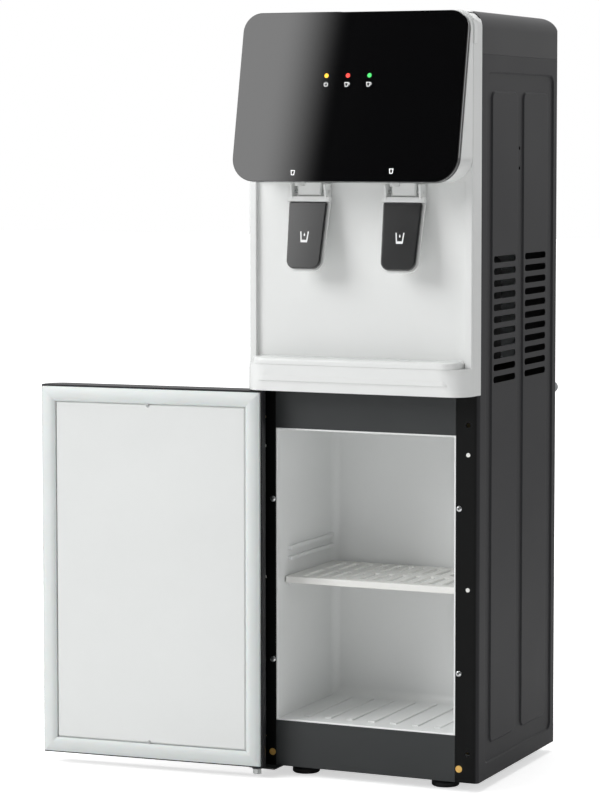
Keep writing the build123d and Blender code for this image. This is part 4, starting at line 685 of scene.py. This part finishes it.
def pad_point(x_mm, height_mm):
    """A point on a lever pad's ink, by its X and its height over the mark's middle."""
    lean, rise = math.sin(PAD_TILT), math.cos(PAD_TILT)
    down, ink = (MARK_DOWN_MM - height_mm) / MM_IN_METRE, PAD_INK_MM / MM_IN_METRE
    y = PAD_TOP_Y - down * lean - rise * ink
    z = PAD_TOP_Z - down * rise + lean * ink
    return Vector((x_mm / MM_IN_METRE, y, z))


for side, middle_x in MARK_XS:
    faces = [[pad_point(middle_x + x, height) for x, height in outline] for outline in GLASS]
    printed("lever_mark_" + side, faces, "lever_" + side, pad_ink)
print("lever marks:", len(MARK_XS))

# %% [markdown]
# ## Small screws
# Three screws show under the front's lower edge, and one in the middle of the door's liner
# at its top and at its foot. Each is a pan head with a cross recess. A cylinder with a cut
# would do, but a head is pressed to a low dome, so it is a fan of rings round its middle,
# raised as a dome, and the recess comes from lowering the points that lie on the cross.
# Each head is set on the nearest point of the piece that it holds.

# %% Screw helper
HEAD_RINGS = (0.0, 0.10, 0.20, 0.32, 0.45, 0.58, 0.72, 0.86, 0.96, 1.0)
HEAD_STEPS = 32
CROSS_REACH, CROSS_HALF_WIDTH, CROSS_DEPTH = 0.6, 0.11, 0.45


def screw_on(name, carrier, near, facing, size_mm, body, material):
    """A pan head on the carrier's nearest point; size is its radius and its height."""
    spot = cooler[carrier].closest_point_on_mesh(near)[1]
    out = Vector(facing).normalized()
    across = out.orthogonal().normalized()
    along = out.cross(across)
    radius, height = (mm / MM_IN_METRE for mm in size_mm)
    shape = bmesh.new()
    rings = []
    for ring in HEAD_RINGS:
        row = []
        for step in range(HEAD_STEPS):
            turn = math.tau * step / HEAD_STEPS
            side, up = ring * math.cos(turn), ring * math.sin(turn)
            lift = math.sqrt(max(0.0, 1.0 - ring ** 4))
            if ring < CROSS_REACH and min(abs(side), abs(up)) < CROSS_HALF_WIDTH:
                lift -= CROSS_DEPTH
            point = spot + (across * side + along * up) * radius + out * (lift * height)
            row.append(shape.verts.new(point))
        rings.append(row)
    for inner, outer in zip(rings, rings[1:]):
        for step in range(HEAD_STEPS):
            after = (step + 1) % HEAD_STEPS
            shape.faces.new((inner[step], outer[step], outer[after], inner[after]))
    bmesh.ops.remove_doubles(shape, verts=shape.verts, dist=WELD)
    bmesh.ops.recalc_face_normals(shape, faces=shape.faces)
    fitted(name, shape, body, material)


print("faces in a screw head:", HEAD_STEPS * (len(HEAD_RINGS) - 1))

# %% [markdown]
# ## The five screws
# The front's screws look down and the door's look forward. Each is given a point near its
# place, and the helper drops it on the surface, so that a head never floats or sinks in.

# %% Screws in place
DOWN, FORWARD = (0.0, 0.0, -1.0), (0.0, -1.0, 0.0)
FRONT_HEAD_MM, DOOR_HEAD_MM = (3.2, 1.2), (2.6, 1.0)
DOOR_SCREW_INSET, CLEAR_OF_DOOR = 0.022, 0.02

for side, near, slot, metal in (
    ("right", (0.1495, -0.158, 0.530), "rivet_silver", zinc_plate),
    ("middle", (-0.072, -0.158, 0.530), "rear_black_steel", black_enamel),
    ("left", (-0.1396, -0.167, 0.530), "brass", brass),
):
    screw_on(
        "front_screw_" + side, "front_fascia", near, DOWN, FRONT_HEAD_MM, "cabinet", metal
    )
low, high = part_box("door_inner_panel")
middle = (low[0] + high[0]) / 2
for end, height in (("top", high[2] - DOOR_SCREW_INSET), ("foot", low[2] + DOOR_SCREW_INSET)):
    near = (middle, low[1] - CLEAR_OF_DOOR, height)
    screw_on(
        "door_screw_" + end, "door_inner_panel", near, FORWARD, DOOR_HEAD_MM,
        "door", zinc_plate,
    )

# %% [markdown]
# ## Studio floor
# The floor is a sheet of white paper that runs into a white world. It keeps the object's
# shadow, but paper lit only by the lamps would end in a grey edge far away. So it glows to
# the camera alone, faintly near the object and fully further out.

# %% Floor
SHADOW_ENDS, WHITE_FROM = 0.35, 1.3
bpy.ops.mesh.primitive_plane_add(size=40.0, location=(0.0, 0.0, 0.0))
floor = bpy.context.object
floor.name = "studio_floor"
paper = bpy.data.materials.new("white_studio_paper")
paper.use_nodes = True
tree = paper.node_tree
shader = tree.nodes["Principled BSDF"]
shader.inputs["Base Color"].default_value = linear("#f4f4f4")
shader.inputs["Roughness"].default_value = 0.9
seen = node(tree, "ShaderNodeLightPath").outputs["Is Camera Ray"]
spot = node(tree, "ShaderNodeNewGeometry").outputs["Position"]
away = node(tree, "ShaderNodeVectorMath", {"operation": "LENGTH"}, _0=spot).outputs["Value"]
glow = node(
    tree, "ShaderNodeMapRange",
    Value=away, From_Min=SHADOW_ENDS, From_Max=WHITE_FROM, To_Min=0.58, To_Max=1.0,
)
lift = node(
    tree, "ShaderNodeMath", {"operation": "MULTIPLY"}, _0=seen, _1=glow.outputs["Result"]
)
shader.inputs["Emission Color"].default_value = (1.0, 1.0, 1.0, 1.0)
tree.links.new(lift.outputs[0], shader.inputs["Emission Strength"])
floor.data.materials.append(paper)
print("floor:", floor.name)

# %% [markdown]
# ## World
# The camera sees plain white. Matt surfaces get a dim fill, stronger from the left, the side
# that the picture shows brighter. Glossy surfaces mirror a room that is dark behind the
# camera and white at the far end, which keeps the painted steel black and gives the panel
# its black mirror. One colour for all rays would be simpler, but it would grey the panel.

# %% World
WHITE = (1, 1, 1, 1)
world = bpy.data.worlds.new("studio_world")
bpy.context.scene.world = world
world.use_nodes = True
tree = world.node_tree
tree.nodes.clear()
toward = node(tree, "ShaderNodeTexCoord").outputs["Generated"]
parts = node(tree, "ShaderNodeSeparateXYZ", Vector=toward)
dim = node(
    tree, "ShaderNodeMapRange",
    Value=parts.outputs["X"], From_Min=-0.7, From_Max=0.6, To_Min=0.62, To_Max=0.26,
)
mirrored = node(
    tree, "ShaderNodeMapRange",
    Value=parts.outputs["Y"], From_Min=0.1, From_Max=0.95, To_Min=0.015, To_Max=1.0,
)
path = node(tree, "ShaderNodeLightPath")
sharp = node(
    tree, "ShaderNodeMath", {"operation": "MAXIMUM"},
    _0=path.outputs["Is Glossy Ray"], _1=path.outputs["Is Transmission Ray"],
)
fill = node(tree, "ShaderNodeBackground", Color=WHITE, Strength=dim.outputs["Result"])
shown = node(tree, "ShaderNodeBackground", Color=WHITE, Strength=mirrored.outputs["Result"])
plain = node(tree, "ShaderNodeBackground", Color=WHITE, Strength=1.0)
lit = node(
    tree, "ShaderNodeMixShader", _0=sharp.outputs[0], _1=fill.outputs[0], _2=shown.outputs[0]
)
mixed = node(
    tree, "ShaderNodeMixShader",
    _0=path.outputs["Is Camera Ray"], _1=lit.outputs[0], _2=plain.outputs[0],
)
node(tree, "ShaderNodeOutputWorld", Surface=mixed.outputs[0])
print("world:", world.name)

# %% [markdown]
# ## The card that the black panel mirrors
# A black mirror shows only what stands before it. The tall pale card at the front left is
# what gives the panel and the left lever their grey, fading to black towards the right
# over the last hand's width of the card. It stands for a white board beside a real
# product. Matt surfaces don't see it, so the exposure stays with the lamps and the world.

# %% Reflection card
CARD_AT, CARD_SIZE = (-2.15, -2.27, 1.75), (2.3, 2.1, 1.0)
CARD_DARK_X, CARD_BRIGHT_X, CARD_STRENGTH = -1.015, -1.17, 2.6
bpy.ops.mesh.primitive_plane_add(
    size=1.0, location=CARD_AT, rotation=(math.radians(90), 0.0, 0.0)
)
card = bpy.context.object
card.name = "pale_card"
card.scale = CARD_SIZE
card_light = bpy.data.materials.new("lit_card")
card_light.use_nodes = True
tree = card_light.node_tree
tree.nodes.clear()
spot = node(tree, "ShaderNodeNewGeometry").outputs["Position"]
across = node(tree, "ShaderNodeSeparateXYZ", Vector=spot).outputs["X"]
fade = node(
    tree, "ShaderNodeMapRange", {"interpolation_type": "SMOOTHSTEP"}, Value=across,
    From_Min=CARD_DARK_X, From_Max=CARD_BRIGHT_X, To_Min=0.0, To_Max=CARD_STRENGTH,
)
glow = node(tree, "ShaderNodeEmission", Color=WHITE, Strength=fade.outputs["Result"])
node(tree, "ShaderNodeOutputMaterial", Surface=glow.outputs[0])
card.data.materials.append(card_light)
card.visible_camera = card.visible_diffuse = card.visible_shadow = False
print("card:", card.name)

# %% [markdown]
# ## Lamps
# A product picture of white plastic wants one large soft source, so that its round edges
# fade slowly. The key stands at the front left and high, a faint one fills the right side,
# and one overhead lights the top and the ledges. Area lamps give that softness directly.


# %% Lamps
def soft_box(name, at, toward, size, power):
    """A rectangular area lamp that faces a point, sized in metres, in watts."""
    lamp = bpy.data.lights.new(name, "AREA")
    lamp.shape = "RECTANGLE"
    lamp.size, lamp.size_y = size
    lamp.energy = power
    stand = bpy.data.objects.new(name, lamp)
    bpy.context.scene.collection.objects.link(stand)
    stand.location = at
    stand.rotation_euler = (Vector(toward) - Vector(at)).to_track_quat("-Z", "Y").to_euler()


MIDDLE, HEAD = (0.0, 0.0, 0.6), (0.0, 0.0, 0.9)
soft_box("key_front_left", at=(-3.2, -3.2, 3.1), toward=MIDDLE, size=(2.4, 2.8), power=146.0)
soft_box("fill_right", at=(2.6, -0.9, 1.3), toward=MIDDLE, size=(1.0, 2.0), power=3.5)
soft_box("top", at=(0.0, 0.2, 2.9), toward=HEAD, size=(1.8, 1.8), power=46.0)
